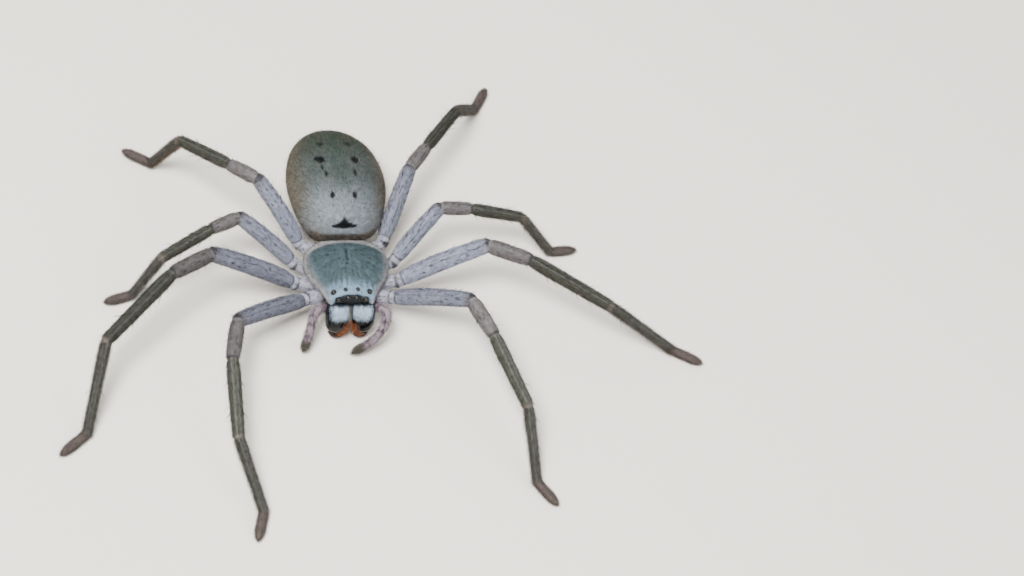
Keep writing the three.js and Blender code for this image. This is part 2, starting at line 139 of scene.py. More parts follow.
def curve_through(pairs):
    """A smooth curve through pairs of place and value, which holds its end values outside them."""
    places, values = np.array(pairs, float).T
    slopes = np.empty_like(values)
    slopes[1:-1] = (values[2:] - values[:-2]) / (places[2:] - places[:-2])
    slopes[0] = (values[1] - values[0]) / (places[1] - places[0])
    slopes[-1] = (values[-1] - values[-2]) / (places[-1] - places[-2])

    def curve(at):
        at = np.clip(at, places[0], places[-1])
        i = np.clip(np.searchsorted(places, at, side="right") - 1, 0, len(places) - 2)
        gap = places[i + 1] - places[i]
        t = (at - places[i]) / gap
        level = values[i] * (1 + 2 * t) * (1 - t) ** 2 + values[i + 1] * t * t * (3 - 2 * t)
        return level + gap * t * (1 - t) * (slopes[i] * (1 - t) - slopes[i + 1] * t)

    return curve


def unit(vectors):
    """Vectors scaled to length one along their last axis."""
    return vectors / np.maximum(np.linalg.norm(vectors, axis=-1, keepdims=True), 1e-12)


def smooth_path(points, count):
    """Evenly spaced points on a smooth curve through a few."""
    points = np.array(points, float)
    chords = np.r_[0, np.cumsum(np.linalg.norm(np.diff(points, axis=0), axis=1))]
    fine = np.linspace(0, chords[-1], 20 * count)
    curve = np.stack([curve_through(np.c_[chords, points[:, k]])(fine) for k in range(3)], axis=1)
    run = np.r_[0, np.cumsum(np.linalg.norm(np.diff(curve, axis=0), axis=1))]
    even = np.linspace(0, run[-1], count)
    return np.stack([np.interp(even, run, curve[:, k]) for k in range(3)], axis=1)


def across_axes(ways):
    """The two directions across a heading: level to its left, and up."""
    side = unit(np.cross([0.0, 0.0, 1.0], ways))
    return side, unit(np.cross(ways, side))


def on_side(points, side):
    """Points of the spider's left, or their mirror images on its right."""
    return np.array(points) * [side, 1, 1]


def around(count):
    """Angles of evenly spaced points round a circle."""
    return np.arange(count) * 2 * math.pi / count


def loft(rings):
    """A closed body through rings of points: its points and triangles."""
    count, sides = rings.shape[:2]
    grid = np.arange(count * sides).reshape(count, sides)
    a, b = grid[:-1], np.roll(grid, -1, axis=1)[:-1]
    c, d = np.roll(grid, -1, axis=1)[1:], grid[1:]
    walls = [np.stack(corners, -1).reshape(-1, 3) for corners in ([a, b, c], [a, c, d])]
    hubs = [count * sides, count * sides + 1]
    first, last = grid[0], grid[-1]
    near = np.stack([np.full(sides, hubs[0]), np.roll(first, -1), first], -1)
    far = np.stack([np.full(sides, hubs[1]), last, np.roll(last, -1)], -1)
    points = np.vstack([rings.reshape(-1, 3), rings[0].mean(0), rings[-1].mean(0)])
    return points, np.vstack([*walls, near, far])


def tube_along(path, radii, sides, way=None):
    """A closed round body along a path, with its rings square to the path or to a given way."""
    ways = unit(np.gradient(path, axis=0)) if way is None else np.broadcast_to(way, path.shape)
    side, up = across_axes(ways)
    turn = around(sides)[:, None]
    offset = np.cos(turn) * side[:, None] + np.sin(turn) * up[:, None]
    return loft(path[:, None] + offset * np.asarray(radii)[:, None, None])


def joined(bodies):
    """Several bodies as one list of points and one of triangles."""
    starts = np.cumsum([0] + [len(points) for points, _ in bodies])
    points = np.vstack([points for points, _ in bodies])
    triangles = np.vstack([triangles + start for (_, triangles), start in zip(bodies, starts)])
    return points, triangles


# Heights and half widths of the body: along y for the carapace and sternum, and from 0 at the front
# of the abdomen to 1 at its tail
carapace_half_width = curve_through([
    [CARAPACE_FRONT, 3.4], [-5.9, 4.15], [-4.7, 4.6], [-3, 5.5], [-0.6, 7.05],
    [2.3, 7.7], [5, 6.9], [6.6, 5.3], [CARAPACE_REAR, 4.1],
])
carapace_top = curve_through([
    [CARAPACE_FRONT, 7.8], [-5.9, 8.65], [-4.7, 9.2], [-2.5, 9.5],
    [2, 9.35], [5, 8.7], [CARAPACE_REAR, 7.4],
])
carapace_rim = curve_through([[CARAPACE_FRONT, 7.2], [-4, 7.05], [0, 6.8], [CARAPACE_REAR, 6.75]])
carapace_base = curve_through([
    [CARAPACE_FRONT, 6.9], [-4.8, 6.5], [-3, 5.6], [6, 5.5], [CARAPACE_REAR, 6.2],
])
abdomen_half_width = curve_through([
    [0, 4.4], [0.03, 5.8], [0.1, 6.95], [0.25, 8.2], [0.45, 8.9],
    [0.65, 8.4], [0.82, 7.0], [0.94, 4.8], [1, 2.6],
])
abdomen_top = curve_through([
    [0, 9.2], [0.03, 10.8], [0.1, 12.6], [0.28, 13.9], [0.5, 13.2], [0.75, 11.0], [0.92, 8.4], [1, 6.9],
])
abdomen_bottom = curve_through([
    [0, 4.9], [0.05, 3.9], [0.2, 2.7], [0.5, 2.2], [0.78, 2.6], [0.9, 3.7], [1, 4.9],
])
sternum_half_width = curve_through([
    [-4.4, 0.9], [-3.2, 1.7], [-2, 2.6], [0.5, 3.3], [3, 2.9], [5.2, 1.6], [6.2, 0.5],
])


def carapace_height(x, y):
    """Height of the carapace over a point on it."""
    across = np.minimum(1, np.abs(x) / carapace_half_width(y)) ** (1 / 0.8)
    return carapace_rim(y) + (carapace_top(y) - carapace_rim(y)) * np.sqrt(1 - across * across) ** 0.8


def carapace_body():
    """The shell of the front half: a dome over a level rim, with a flatter underside."""
    depth = COAT_DEPTH["carapace"]
    rings, turn = [], around(72)
    level, upright = np.cos(turn), np.sin(turn)
    for y in np.linspace(CARAPACE_FRONT + depth, CARAPACE_REAR - 0.08, 60):
        squareness = 0.8 if y < -3 else 0.92
        x = -(carapace_half_width(y) - depth) * np.sign(level) * np.abs(level) ** squareness
        over = carapace_top(y) - depth - carapace_rim(y)
        under = carapace_rim(y) - carapace_base(y) - depth
        z = carapace_rim(y) + np.sign(upright) * np.where(upright > 0, over, under) * np.abs(upright) ** 0.8
        rings.append(np.stack([x, np.full_like(x, y), z], 1))
    return loft(np.array(rings))


def oval_body(ys, half_widths, tops, bottoms):
    """A body with upright oval sections along the midline."""
    turn = around(64)
    middle, half_height = (tops + bottoms) / 2, (tops - bottoms) / 2
    x = -half_widths[:, None] * np.cos(turn)
    z = middle[:, None] + half_height[:, None] * np.sin(turn)
    y = np.broadcast_to(ys[:, None], x.shape)
    return loft(np.stack([x, y, z], -1))


def abdomen_body():
    """The rear half of the body, from the end of the stalk to the tail."""
    depth, front = COAT_DEPTH["body"], PEDICEL_FRONT + 0.1
    share = np.linspace(0, 1, 70)
    ys = front + (ABDOMEN_REAR - depth - front) * share
    top, bottom = abdomen_top(share) - depth, abdomen_bottom(share) + depth
    return oval_body(ys, abdomen_half_width(share) - depth, top, bottom)


def sternum_body():
    """The plate between the hips."""
    ys = np.linspace(-4.2, 6.0, 30)
    half_height = 1.15 - 0.03 * (ys - 1) ** 2
    return oval_body(ys, sternum_half_width(ys) - 0.2, 3.85 + half_height, 3.85 - half_height)


def flank_body():
    """The soft wall between the hips and the carapace."""
    ys = np.linspace(-4.3, 6.6, 24)
    widths = 0.6 * (carapace_half_width(ys) - 0.5)
    return oval_body(ys, widths, carapace_rim(ys) + 0.3, np.full_like(ys, 4.3))


def waist_body():
    """The narrow stalk between the two halves of the body."""
    ys = np.linspace(5.8, 9.2, 8)
    return oval_body(ys, np.full_like(ys, 1.1), np.full_like(ys, 6.5), np.full_like(ys, 4.9))


def spinneret_axes():
    """Where the spinnerets sit, the way they point, and the direction across them."""
    tilt = math.radians(32)
    return (
        np.array([0, ABDOMEN_REAR - 1.9, 4.1]),
        np.array([0, math.cos(tilt), -math.sin(tilt)]),
        np.array([0, math.sin(tilt), math.cos(tilt)]),
    )


def spinneret_bodies():
    """Four short fingers on a knob under the tip of the abdomen."""
    origin, way, over = spinneret_axes()
    fingers = [(0, 0, 0.9, 0.9, 0.75)]
    fingers += [(x, z, reach, 0.38, 0.2) for x, z, reach in [
        (-0.45, -0.35, 2.1), (0.45, -0.35, 2.1), (-0.4, 0.4, 1.7), (0.4, 0.4, 1.7),
    ]]
    bodies = []
    for x, z, reach, root, tip in fingers:
        start = origin + np.array([x, 0, 0]) + over * z
        path = start + np.linspace(-0.8, reach, 14)[:, None] * way
        radii = np.linspace(root, tip, 14)
        radii[-2:] *= [0.85, 0.5]
        bodies.append(tube_along(path, radii, 16))
    return bodies


def heading_way(heading, rise, side):
    """A direction from a heading and a rise in degrees."""
    heading, rise = math.radians(heading), math.radians(rise)
    level = math.cos(rise)
    return np.array([side * math.cos(heading) * level, math.sin(heading) * level, math.sin(rise)])


def leg_joints(side_name, pair):
    """The joints and segment directions of one leg, from the trochanter to the toe on the floor."""
    side = SIDES[side_name]
    headings, rises = POSE[side_name, pair]
    joints, ways = [on_side(HIPS[pair][1], side)], []
    for order, length in enumerate(LEG_LENGTHS[pair]):
        if order < 3:
            pitch = rises[order]
        else:
            height = HEEL_HEIGHT if order == 3 else TOE_HEIGHT
            pitch = math.degrees(math.asin((height - joints[-1][2]) / length))
        ways.append(heading_way(headings[order], pitch, side))
        joints.append(joints[-1] + ways[-1] * length)
    return joints, ways


def rounded_tube(start, end, radius, shape, bow=0.0):
    """A straight segment with rounded ends, which reach a little past its joints."""
    span = end - start
    length = np.linalg.norm(span)
    cap = 0.75 * radius
    bend = np.linspace(0, math.pi / 2, 6)[1:]
    along = np.r_[-cap * np.sin(bend[::-1]), np.linspace(0, length, 30), length + cap * np.sin(bend)]
    narrowing = np.r_[np.cos(bend[::-1]), np.ones(30), np.cos(bend)]
    share = along / length
    way = (span / length)[None]
    lift = bow * 4 * np.clip(share, 0, 1) * (1 - np.clip(share, 0, 1))
    centres = start + along[:, None] * way + lift[:, None] * across_axes(way)[1]
    radii = np.maximum(0.04, radius * curve_through(shape)(share) * narrowing)
    return tube_along(centres, radii, LIMB_SIDES, way)


class Segments:
    """The axes of the limbs, which say where on a limb any point of the skin lies."""

    def __init__(self):
        self.rows = []

    def add(self, start, end, radius, kind, limb, begin=0.0, finish=1.0, bow=0.0):
        """One straight stretch; begin and finish are its shares of the limb piece it belongs to."""
        self.rows.append((start, end, radius, CODE[kind], limb, begin, finish, bow))

    def close(self):
        starts, ends, self.radius, self.kind, self.limb, self.begin, self.finish, self.bow = map(
            np.array, zip(*self.rows)
        )
        self.start = starts
        self.length = np.linalg.norm(ends - starts, axis=1)
        self.way = unit(ends - starts)
        self.side, self.up = across_axes(self.way)

    def measure(self, points, row):
        """For points against rows: the share along, the offset from the axis, and the distance in radii."""
        out = points - self.start[row]
        share = np.clip((out * self.way[row]).sum(-1) / self.length[row], 0, 1)
        lift = self.bow[row] * 4 * share * (1 - share)
        offset = out - self.way[row] * (share * self.length[row])[..., None] - self.up[row] * lift[..., None]
        return share, offset, np.linalg.norm(offset, axis=-1) / self.radius[row]

    def nearest(self, points):
        """The row nearest to each point, or -1 on the body."""
        rows = np.arange(len(self.rows))[None, :]
        best = []
        batches = max(1, len(points) // BATCH)
        for part in np.array_split(points, batches):
            _, offset, distance = self.measure(part[:, None], np.broadcast_to(rows, (len(part), rows.size)))
            row = np.linalg.norm(offset, axis=-1).argmin(1)
            near = distance[np.arange(len(part)), row] < LIMB_REACH
            best.append(np.where(near, row, -1))
        return np.concatenate(best)


segments = Segments()
limb_names = [f"{side}_leg_{pair}" for side in SIDES for pair in PAIRS] + [f"{side}_palp" for side in SIDES]
limb_code = {name: code for code, name in enumerate(limb_names)}
claw_places = {}


def leg_bodies(side_name, pair):
    """The flesh of one leg, segment by segment, and its axes."""
    joints, ways = leg_joints(side_name, pair)
    limb = limb_code[f"{side_name}_leg_{pair}"]
    thickness, depth = LEG_THICKNESS[pair], COAT_DEPTH["leg"]
    inner, hip = on_side(HIPS[pair][0], SIDES[side_name]), joints[0]
    knuckle = hip + ways[0] * TROCHANTER_LENGTH
    path = smooth_path([inner, inner + 0.62 * (hip - inner), hip, knuckle], COXA_POINTS)
    radii = curve_through(COXA_SHAPE)(np.linspace(0, 1, COXA_POINTS)) * thickness - depth
    radii[-1] *= 0.8
    bodies = [tube_along(path, radii, LIMB_SIDES)]
    segments.add(inner, hip, 1.3 * thickness, "coxa", limb, 0.0, 0.75)
    segments.add(hip, knuckle, 1.25 * thickness, "coxa", limb, 0.75, 1.0)
    starts = [knuckle] + joints[1:5]
    for order, kind in enumerate(SEGMENTS):
        radius, shape = SEGMENTS[kind]
        radius = radius * (1.0 if kind == "tarsus" else thickness) - depth
        bow = FEMUR_BOW if kind == "femur" else 0.0
        bodies.append(rounded_tube(starts[order], joints[order + 1], radius, shape, bow))
        segments.add(starts[order], joints[order + 1], radius + depth, kind, limb, bow=bow)
    claw_places[f"{side_name}_leg_{pair}"] = (joints[5], ways[4])
    return bodies


def palp_body(side_name):
    """One of the two short feelers beside the jaws."""
    last = PALP_POINTS - 1
    path = smooth_path(PALPS[side_name], PALP_POINTS)
    share = np.linspace(0, 1, PALP_POINTS)
    full = curve_through(PALP_SHAPE)(share)
    creases = sum(0.1 * np.exp(-(((share - at) / 0.018) ** 2)) for at in PALP_CREASES)
    radii = full - COAT_DEPTH["palp"] - creases
    radii[-3:] *= [0.95, 0.8, 0.5]
    limb = limb_code[f"{side_name}_palp"]
    marks = np.linspace(0, last, 13).astype(int)
    for a, b in zip(marks[:-1], marks[1:]):
        segments.add(path[a], path[b], full[(a + b) // 2], "palp", limb, a / last, b / last)
    return tube_along(path, radii, LIMB_SIDES)


def flesh():
    """All soft parts as closed bodies that run into each other."""
    bodies = [carapace_body(), abdomen_body(), sternum_body(), flank_body(), waist_body()]
    bodies += spinneret_bodies()
    origin, way, _ = spinneret_axes()
    segments.add(origin, origin + way * 2.4, 1.15, "spinneret", -1)
    for side_name in SIDES:
        for pair in PAIRS:
            bodies += leg_bodies(side_name, pair)
        bodies.append(palp_body(side_name))
    segments.close()
    return joined(bodies)


def new_object(name, data):
    """A new object in the scene for a mesh, camera or light."""
    thing = bpy.data.objects.new(name, data)
    bpy.context.scene.collection.objects.link(thing)
    return thing


def fused(points, triangles):
    """One closed surface round all the bodies, as points and four-sided faces."""
    mesh = bpy.data.meshes.new("flesh_source")
    mesh.from_pydata(points.tolist(), [], triangles.tolist())
    source = new_object("flesh_source", mesh)
    remesh = source.modifiers.new("Fuse", "REMESH")
    remesh.mode = "VOXEL"
    remesh.voxel_size = VOXEL
    result = source.evaluated_get(bpy.context.evaluated_depsgraph_get()).to_mesh()
    verts = np.empty(len(result.vertices) * 3)
    result.vertices.foreach_get("co", verts)
    loops = np.empty(len(result.loops), dtype=np.int64)
    result.loops.foreach_get("vertex_index", loops)
    bpy.data.objects.remove(source)
    bpy.data.meshes.remove(mesh)
    return verts.reshape(-1, 3), loops.reshape(-1, 4)


def relaxed(points, faces, rounds):
    """The surface with its steps smoothed away and its volume kept."""
    edges = np.concatenate([faces[:, [k, (k + 1) % 4]] for k in range(4)])
    ends = np.concatenate([edges, edges[:, ::-1]])
    degree = np.bincount(ends[:, 0], minlength=len(points))[:, None]
    for _ in range(rounds):
        for pull in (0.55, -0.57):
            total = np.stack([
                np.bincount(ends[:, 0], points[ends[:, 1], k], minlength=len(points)) for k in range(3)
            ], axis=1)
            points = points + pull * (total / degree - points)
    return points


def point_normals(points, triangles):
    """The direction straight out of a surface at each of its points."""
    a, b, c = (points[triangles[:, k]] for k in range(3))
    face = np.cross(b - a, c - a)
    normals = np.stack([
        sum(np.bincount(triangles[:, corner], face[:, k], minlength=len(points)) for corner in range(3))
        for k in range(3)
    ], axis=1)
    return unit(normals)


def fade(value, zero_at, one_at):
    """0 up to one value, 1 from another on, and smooth between; either may be the greater."""
    t = np.clip((value - zero_at) / (one_at - zero_at), 0, 1)
    return t * t * (3 - 2 * t)


def line_distance(x, y, start, end):
    """Distance from points of a plane to a line between two of its points."""
    start, end = np.array(start, float), np.array(end, float)
    span = end - start
    out = np.stack([x, y], -1) - start
    share = np.clip(out @ span / (span @ span), 0, 1)
    return np.linalg.norm(out - share[..., None] * span, axis=-1)


# Lines on the carapace from above, given for the left: the fovea, the grooves from it to the hips with
# their depths, and fine lines to the head
FOVEA = ([0, 1.9], [0, 4.5])
STRIAE = [
    ([0.5, 2.2], [3.6, -2.2], 0.1), ([0.8, 2.8], [5.3, 0.2], 0.09),
    ([0.8, 3.3], [5.6, 2.9], 0.09), ([0.7, 4.0], [4.6, 5.2], 0.08),
]
HEAD_LINES = [([0.5, 0.6], [0.7, -3.6]), ([1.3, 0.2], [1.8, -3.9]), ([2.0, -0.6], [2.9, -3.7])]


def carapace_groove(x, y):
    """Depth of the grooves of the carapace."""
    depth = 0.32 * np.exp(-((line_distance(x, y, *FOVEA) / 0.3) ** 2))
    for start, end, deep in STRIAE:
        depth = depth + deep * np.exp(-((line_distance(np.abs(x), y, start, end) / 0.38) ** 2))
    return depth


def eye_centre(name, side):
    """The middle of an eye, sunk a little into the carapace, and its radius."""
    x, y, radius = EYES[name]
    return np.array([side * x, y, carapace_height(x, y) - 0.25 * radius]), radius


def add_relief(points, normals, kinds):
    """The grooves and eye mounds of the carapace, and the small dents of the abdomen."""
    x, y, z = points.T
    shell = (kinds == CODE["carapace"]) & (z > carapace_rim(y))
    lift = np.where(shell, -carapace_groove(x, y), 0.0)
    for name in EYES:
        for side in SIDES.values():
            centre, radius = eye_centre(name, side)
            away = np.linalg.norm(points - centre, axis=1) / radius
            lift = lift + np.where(shell, 0.16 * np.exp(-(((away - 1.0) / 0.55) ** 2)), 0)
    for mark_x, mark_y, reach in APODEMES:
        near = np.hypot((np.abs(x) - mark_x) / reach, (y - mark_y) / reach)
        lift = lift - np.where((kinds == CODE["abdomen"]) & (z > 9), 0.08 * np.exp(-near * near), 0)
    points = points + normals * lift[:, None]
    points[:, 2] = np.maximum(points[:, 2], LOWEST_SKIN)
    return points


# Colours as seen in daylight, 0 to 255
TINTS = {
    "abdomen_front": (142, 150, 158),
    "abdomen_middle": (98, 108, 106),
    "abdomen_rear": (70, 84, 72),
    "abdomen_side": (118, 110, 96),
    # The belly colour, also painted as shadow low on the front of the abdomen
    "belly_and_gap_shade": (92, 80, 66),
    "abdomen_band": (72, 90, 84),
    "mark": (6, 12, 16),
    "faint_mark": (34, 46, 42),
    "carapace": (82, 99, 106),
    "carapace_patch": (66, 84, 88),
    "carapace_rim": (186, 183, 184),
    "carapace_front": (124, 150, 172),
    "groove": (34, 48, 56),
    "eye_band": (20, 27, 30),
    "sternum": (112, 98, 88),
    "coxa": (184, 184, 200),
    "femur": (148, 152, 170),
    "patella": (122, 117, 118),
    "tibia": (78, 79, 71),
    "metatarsus": (84, 83, 78),
    "tarsus": (102, 92, 88),
    "palp": (176, 160, 172),
    "palp_mark": (46, 40, 48),
    "palp_tip": (96, 92, 84),
    "spinneret": (92, 78, 66),
    # Dark joints, and painted shadow at the inner ends of the coxae and the bases of the palps
    "joint_and_shade": (26, 28, 34),
    "ankle": (112, 100, 92),
    "stripe": (132, 136, 136),
    "limb_under": (104, 84, 68),
    "jaw_hair": (204, 226, 255),
    "jaw_grey": (88, 104, 118),
    "jaw": (6, 7, 9),
    "fringe": (142, 84, 52),
    "fang": (40, 15, 10),
    "fang_tip": (8, 6, 6),
    "bristle": (18, 20, 26),
    "whisker": (120, 106, 96),
    "spine": (22, 18, 16),
}

# Pairs of small dents on the back of the abdomen, where muscles pull it in: x, y and reach
APODEMES = [(1.95, 12.85, 0.42), (3.0, 20.8, 0.5)]


def tint(name):
    """A named colour as amounts of light."""
    value = np.array(TINTS[name]) / 255
    return np.where(value < 0.04045, value / 12.92, ((value + 0.055) / 1.055) ** 2.4)


def painted(count, base, layers):
    """A named colour for so many points, with others laid over it in turn, each by its own amount."""
    colour = np.broadcast_to(tint(base), (count, 3))
    for name, amount in layers:
        colour = colour + (tint(name) - colour) * np.asarray(amount)[:, None]
    return colour


def ellipse(x, y, at_x, at_y, half_x, half_y):
    """1 inside an oval spot and 0 outside it, with a soft edge."""
    return fade(np.hypot((x - at_x) / half_x, (y - at_y) / half_y), 1.25, 0.75)


# Oval spots from above, first in pairs and then single: place, half width, half length and strength
DARK_SPOTS = ([(1.95, 12.65, 0.42, 0.66, 1), (3.0, 20.9, 0.66, 0.95, 1)], [(-3.6, 21.4, 0.6, 0.5, 1)])
FAINT_SPOTS = (
    [(2.35, 25.7, 0.62, 0.75, 1)],
    [(-3.0, 18.9, 0.28, 0.6, 1), (-2.55, 17.2, 0.32, 0.7, 1), (2.55, 17.4, 0.34, 0.8, 1)],
)
SHELL_PATCHES = ([(3.9, 3.4, 2.6, 2.7, 1), (3.6, -0.2, 1.5, 2.1, 0.8)], [(0.0, 1.6, 1.8, 3.4, 0.7)])
SHELL_PITS = ([], [(-0.25, 1.1, 0.3, 0.3, 1), (-0.75, 0.0, 0.22, 0.3, 0.7)])
# The chevron at the front of the abdomen: how far out it reaches at each height
CHEVRON_HEIGHTS = [9.6, 9.8, 10.1, 10.4, 10.7, 11.0, 11.4]
CHEVRON_REACHES = [1.0, 2.0, 2.25, 1.4, 0.75, 0.45, 0.0]


def spotted(x, y, pairs, singles):
    """How strongly points are marked by a set of spots."""
    marks = [spot[4] * ellipse(np.abs(x), y, *spot[:4]) for spot in pairs]
    marks += [spot[4] * ellipse(x, y, *spot[:4]) for spot in singles]
    return np.clip(sum(marks), 0, 1)


def abdomen_share(y):
    """How far back on the abdomen points lie, from 0 to 1."""
    return np.clip((y - ABDOMEN_FRONT) / (ABDOMEN_REAR - ABDOMEN_FRONT), 0, 1)


def abdomen_middle(share):
    """Half-way up the abdomen."""
    return (abdomen_top(share) + abdomen_bottom(share)) / 2


def abdomen_colours(points):
    """A grey back with a dark band, a chevron and spots, over brown sides and belly, with a painted shadow
    low on its front where it meets the carapace.
    """
    x, y, z = points.T
    share = abdomen_share(y)
    middle = abdomen_middle(share)
    across = np.abs(x) / abdomen_half_width(share)
    band = fade(np.abs(x), 1.9, 0.9) * fade(y, 12.5, 15.5) * fade(y, 29, 24)
    reach = np.interp(z, CHEVRON_HEIGHTS, CHEVRON_REACHES)
    notch = 0.35 * ellipse(np.abs(x), z, 0.95, 9.6, 0.5, 0.22)
    chevron = fade(np.abs(x), reach + 0.1, reach - 0.1) * fade(z, 9.5, 9.68) * (y < 10.8) * (1 - notch)
    top = z > 8.5
    return painted(len(x), "abdomen_front", [
        ("abdomen_middle", fade(y, 9.5, 18)),
        ("abdomen_rear", fade(y, 19, 29)),
        ("abdomen_band", 0.5 * band),
        ("abdomen_side", 0.85 * fade(across, 0.55, 0.97) * (0.5 + 0.5 * fade(y, 9.5, 14))),
        ("belly_and_gap_shade", fade(z, middle, middle - 3.2)),
        # Painted shadow in the gap between the front of the abdomen and the carapace
        ("belly_and_gap_shade", 0.8 * fade(z, 8.8, 8.1) * fade(y, 9.4, 8.4)),
        ("mark", top * chevron),
        ("mark", top * spotted(x, y, *DARK_SPOTS)),
        ("faint_mark", top * spotted(x, y, *FAINT_SPOTS)),
    ])


def carapace_colours(points):
    """A grey shell with darker patches, a pale rim, fine grooves and black round the rear eyes and face."""
    x, y, z = points.T
    across, rim_height = np.abs(x) / carapace_half_width(y), carapace_rim(y)
    over_rim = z > rim_height
    front = fade(y + 0.25 * np.abs(x) + 0.4 * np.sin(7 * x), -1.4, -3.7)
    rim = 0.3 * fade(across, 0.76, 0.9) + 0.7 * fade(across, 0.88, 0.96)
    rim = rim + fade(y + 0.05 * x * x, 5.9, 6.7) + fade(z, rim_height + 0.6, rim_height)
    lines = sum(fade(line_distance(np.abs(x), y, *line), 0.22, 0.06) for line in HEAD_LINES)
    grooves = fade(line_distance(x, y, *FOVEA), 0.36, 0.12) + spotted(x, y, *SHELL_PITS)
    for start, end, _ in STRIAE:
        grooves = grooves + 0.16 * fade(line_distance(np.abs(x), y, start, end), 0.34, 0.08)
    layers = [
        ("carapace_patch", 0.7 * spotted(x, y, *SHELL_PATCHES)),
        ("carapace_front", 0.95 * front),
        ("carapace_rim", 0.9 * np.clip(rim, 0, 1)),
        ("groove", 0.34 * np.clip(lines, 0, 1) * over_rim),
        ("groove", 0.8 * np.clip(grooves, 0, 1) * over_rim),
    ]
    for name in ("rear_inner", "rear_outer"):
        eye_x, eye_y, radius = EYES[name]
        layers.append(("eye_band", fade(np.hypot(np.abs(x) - eye_x, y - eye_y) / radius, 1.35, 1.1)))
    face = fade(y + 5.08 + 0.06 * x * x, 0.0, -0.16) * fade(np.abs(x), 3.2, 2.9) * (z > 6.6)
    return painted(len(x), "carapace", layers + [("eye_band", face)])


def palp_colours(along, angle):
    """Pale segments with dark streaks, rings at the joints, a painted shadow at the base and a brown end."""
    rings = sum(fade(np.abs(along - at), 0.022, 0.008) for at in PALP_CREASES)
    streaks = fade(np.abs(np.sin(1.5 * angle + 9 * along)), 0.35, 0.1) * fade(along, 0.22, 0.3)
    return painted(len(along), "palp", [
        ("palp_mark", 0.7 * np.clip(rings, 0, 1)),
        ("palp_mark", 0.75 * streaks),
        # Painted shadow at the base of the palp, beside the jaws
        ("joint_and_shade", 0.85 * fade(along, 0.2, 0.1)),
        ("palp_tip", fade(along, 0.78, 0.86)),
    ])


def leg_colours(kind, along, length, angle):
    """Colours of points on one kind of leg segment."""
    top, level = np.sin(angle), np.abs(np.cos(angle))
    from_start, from_end = along * length, (1 - along) * length
    layers = []
    if kind == "coxa":
        # Dark creases at the coxa's joints, and a painted shadow over its inner end, where it meets the body
        creases = np.maximum(fade(np.abs(along - 0.75), 0.05, 0.018), fade(along, 0.955, 0.985))
        layers.append(("joint_and_shade", 0.85 * np.maximum(creases, fade(along, 0.42, 0.2))))
    if kind == "femur":
        lines = fade(np.abs(level - 0.42), 0.12, 0.04) * (top > 0)
        layers.append(("patella", 0.5 * fade(along, 0.86, 0.98)))
        layers.append(("groove", 0.35 * lines * fade(along, 0.05, 0.15)))
    if kind in ("patella", "tibia", "metatarsus"):
        layers.append(("stripe", 0.32 * fade(np.abs(level - 0.36), 0.15, 0.05) * (top > 0)))
    if kind != "coxa":
        layers.append(("limb_under", 0.75 * fade(top, -0.15, -0.75)))
    if kind in ("femur", "patella", "tibia"):
        layers.append(("joint_and_shade", 0.85 * fade(from_start, 0.3, 0.12)))
    if kind in ("femur", "patella"):
        layers.append(("joint_and_shade", 0.85 * fade(from_end, 0.3, 0.12)))
    if kind == "tibia":
        layers.append(("ankle", 0.5 * fade(from_end, 0.6, 0.25)))
    if kind == "metatarsus":
        layers.append(("ankle", 0.4 * np.maximum(fade(from_start, 0.5, 0.2), fade(from_end, 0.4, 0.15))))
    return painted(len(along), kind, layers)


# Painted light and shade: how much lighter or darker the photograph shows each leg than its kind, from the
# sheen of the light on its hair, painted into its colour: left 1 to 4, then right 1 to 4
LEG_PAINTED_LIGHT = {
    "femur": (0.86, 1.3, 1.15, 1.0, 0.6, 0.64, 0.84, 1.0),
    "patella": (1.05, 1.0, 1.0, 1.0, 0.75, 0.6, 0.9, 1.0),
    "tibia": (1.3, 0.95, 1.0, 0.7, 1.25, 0.75, 0.9, 0.95),
}


class Places:
    """Where points of the skin lie: on which kind of part, on which limb, how far along and round it."""

    def __init__(self, points, rows=None):
        self.points = points
        self.rows = segments.nearest(points) if rows is None else rows
        on_limb = self.rows >= 0
        row = np.maximum(self.rows, 0)
        share, offset, _ = segments.measure(points, row)
        self.along = segments.begin[row] + (segments.finish[row] - segments.begin[row]) * share
        self.angle = np.arctan2((offset * segments.up[row]).sum(1), (offset * segments.side[row]).sum(1))
        self.way = segments.way[row]
        self.length = segments.length[row]
        self.limb = np.where(on_limb, segments.limb[row], -1)
        _, y, z = points.T
        body = np.where(y > CARAPACE_REAR + 0.1, CODE["abdomen"], CODE["carapace"])
        body = np.where((body == CODE["carapace"]) & (z < STERNUM_TOP), CODE["sternum"], body)
        self.kind = np.where(on_limb, segments.kind[row], body)

    def on(self, *kinds):
        """Which of the points lie on these kinds of part."""
        return np.isin(self.kind, [CODE[kind] for kind in kinds])

    def only(self, keep):
        """Some of the places."""
        return Places(self.points[keep], self.rows[keep])

    def colours(self):
        """The markings of the spider at each point, with painted shadow and sheen laid into them."""
        result = np.empty_like(self.points)
        for kind in KINDS:
            here = self.on(kind)
            if not here.any():
                continue
            points, along = self.points[here], self.along[here]
            if kind == "abdomen":
                result[here] = abdomen_colours(points)
            elif kind == "carapace":
                result[here] = carapace_colours(points)
            elif kind == "palp":
                result[here] = palp_colours(along, self.angle[here])
            elif kind in ("sternum", "spinneret"):
                result[here] = tint(kind)
            else:
                result[here] = leg_colours(kind, along, self.length[here], self.angle[here])
                # Painted sheen and shade: each leg's femur, patella and tibia made lighter or darker
                if kind in LEG_PAINTED_LIGHT:
                    result[here] *= np.array(LEG_PAINTED_LIGHT[kind])[self.limb[here]][:, None]
        return result

    def lies(self):
        """The way the hair lies: to the tail, out from the middle of the carapace, and down the limbs."""
        x, y, z = self.points.T
        back = np.stack([0.12 * x, np.full_like(y, 1.0), np.full_like(z, -0.1)], 1)
        out = np.stack([x, y - 3.2, -0.4 * np.abs(x)], 1)
        lie = np.where(self.on("abdomen")[:, None], back, out)
        return unit(np.where((self.limb >= 0)[:, None], self.way, lie))


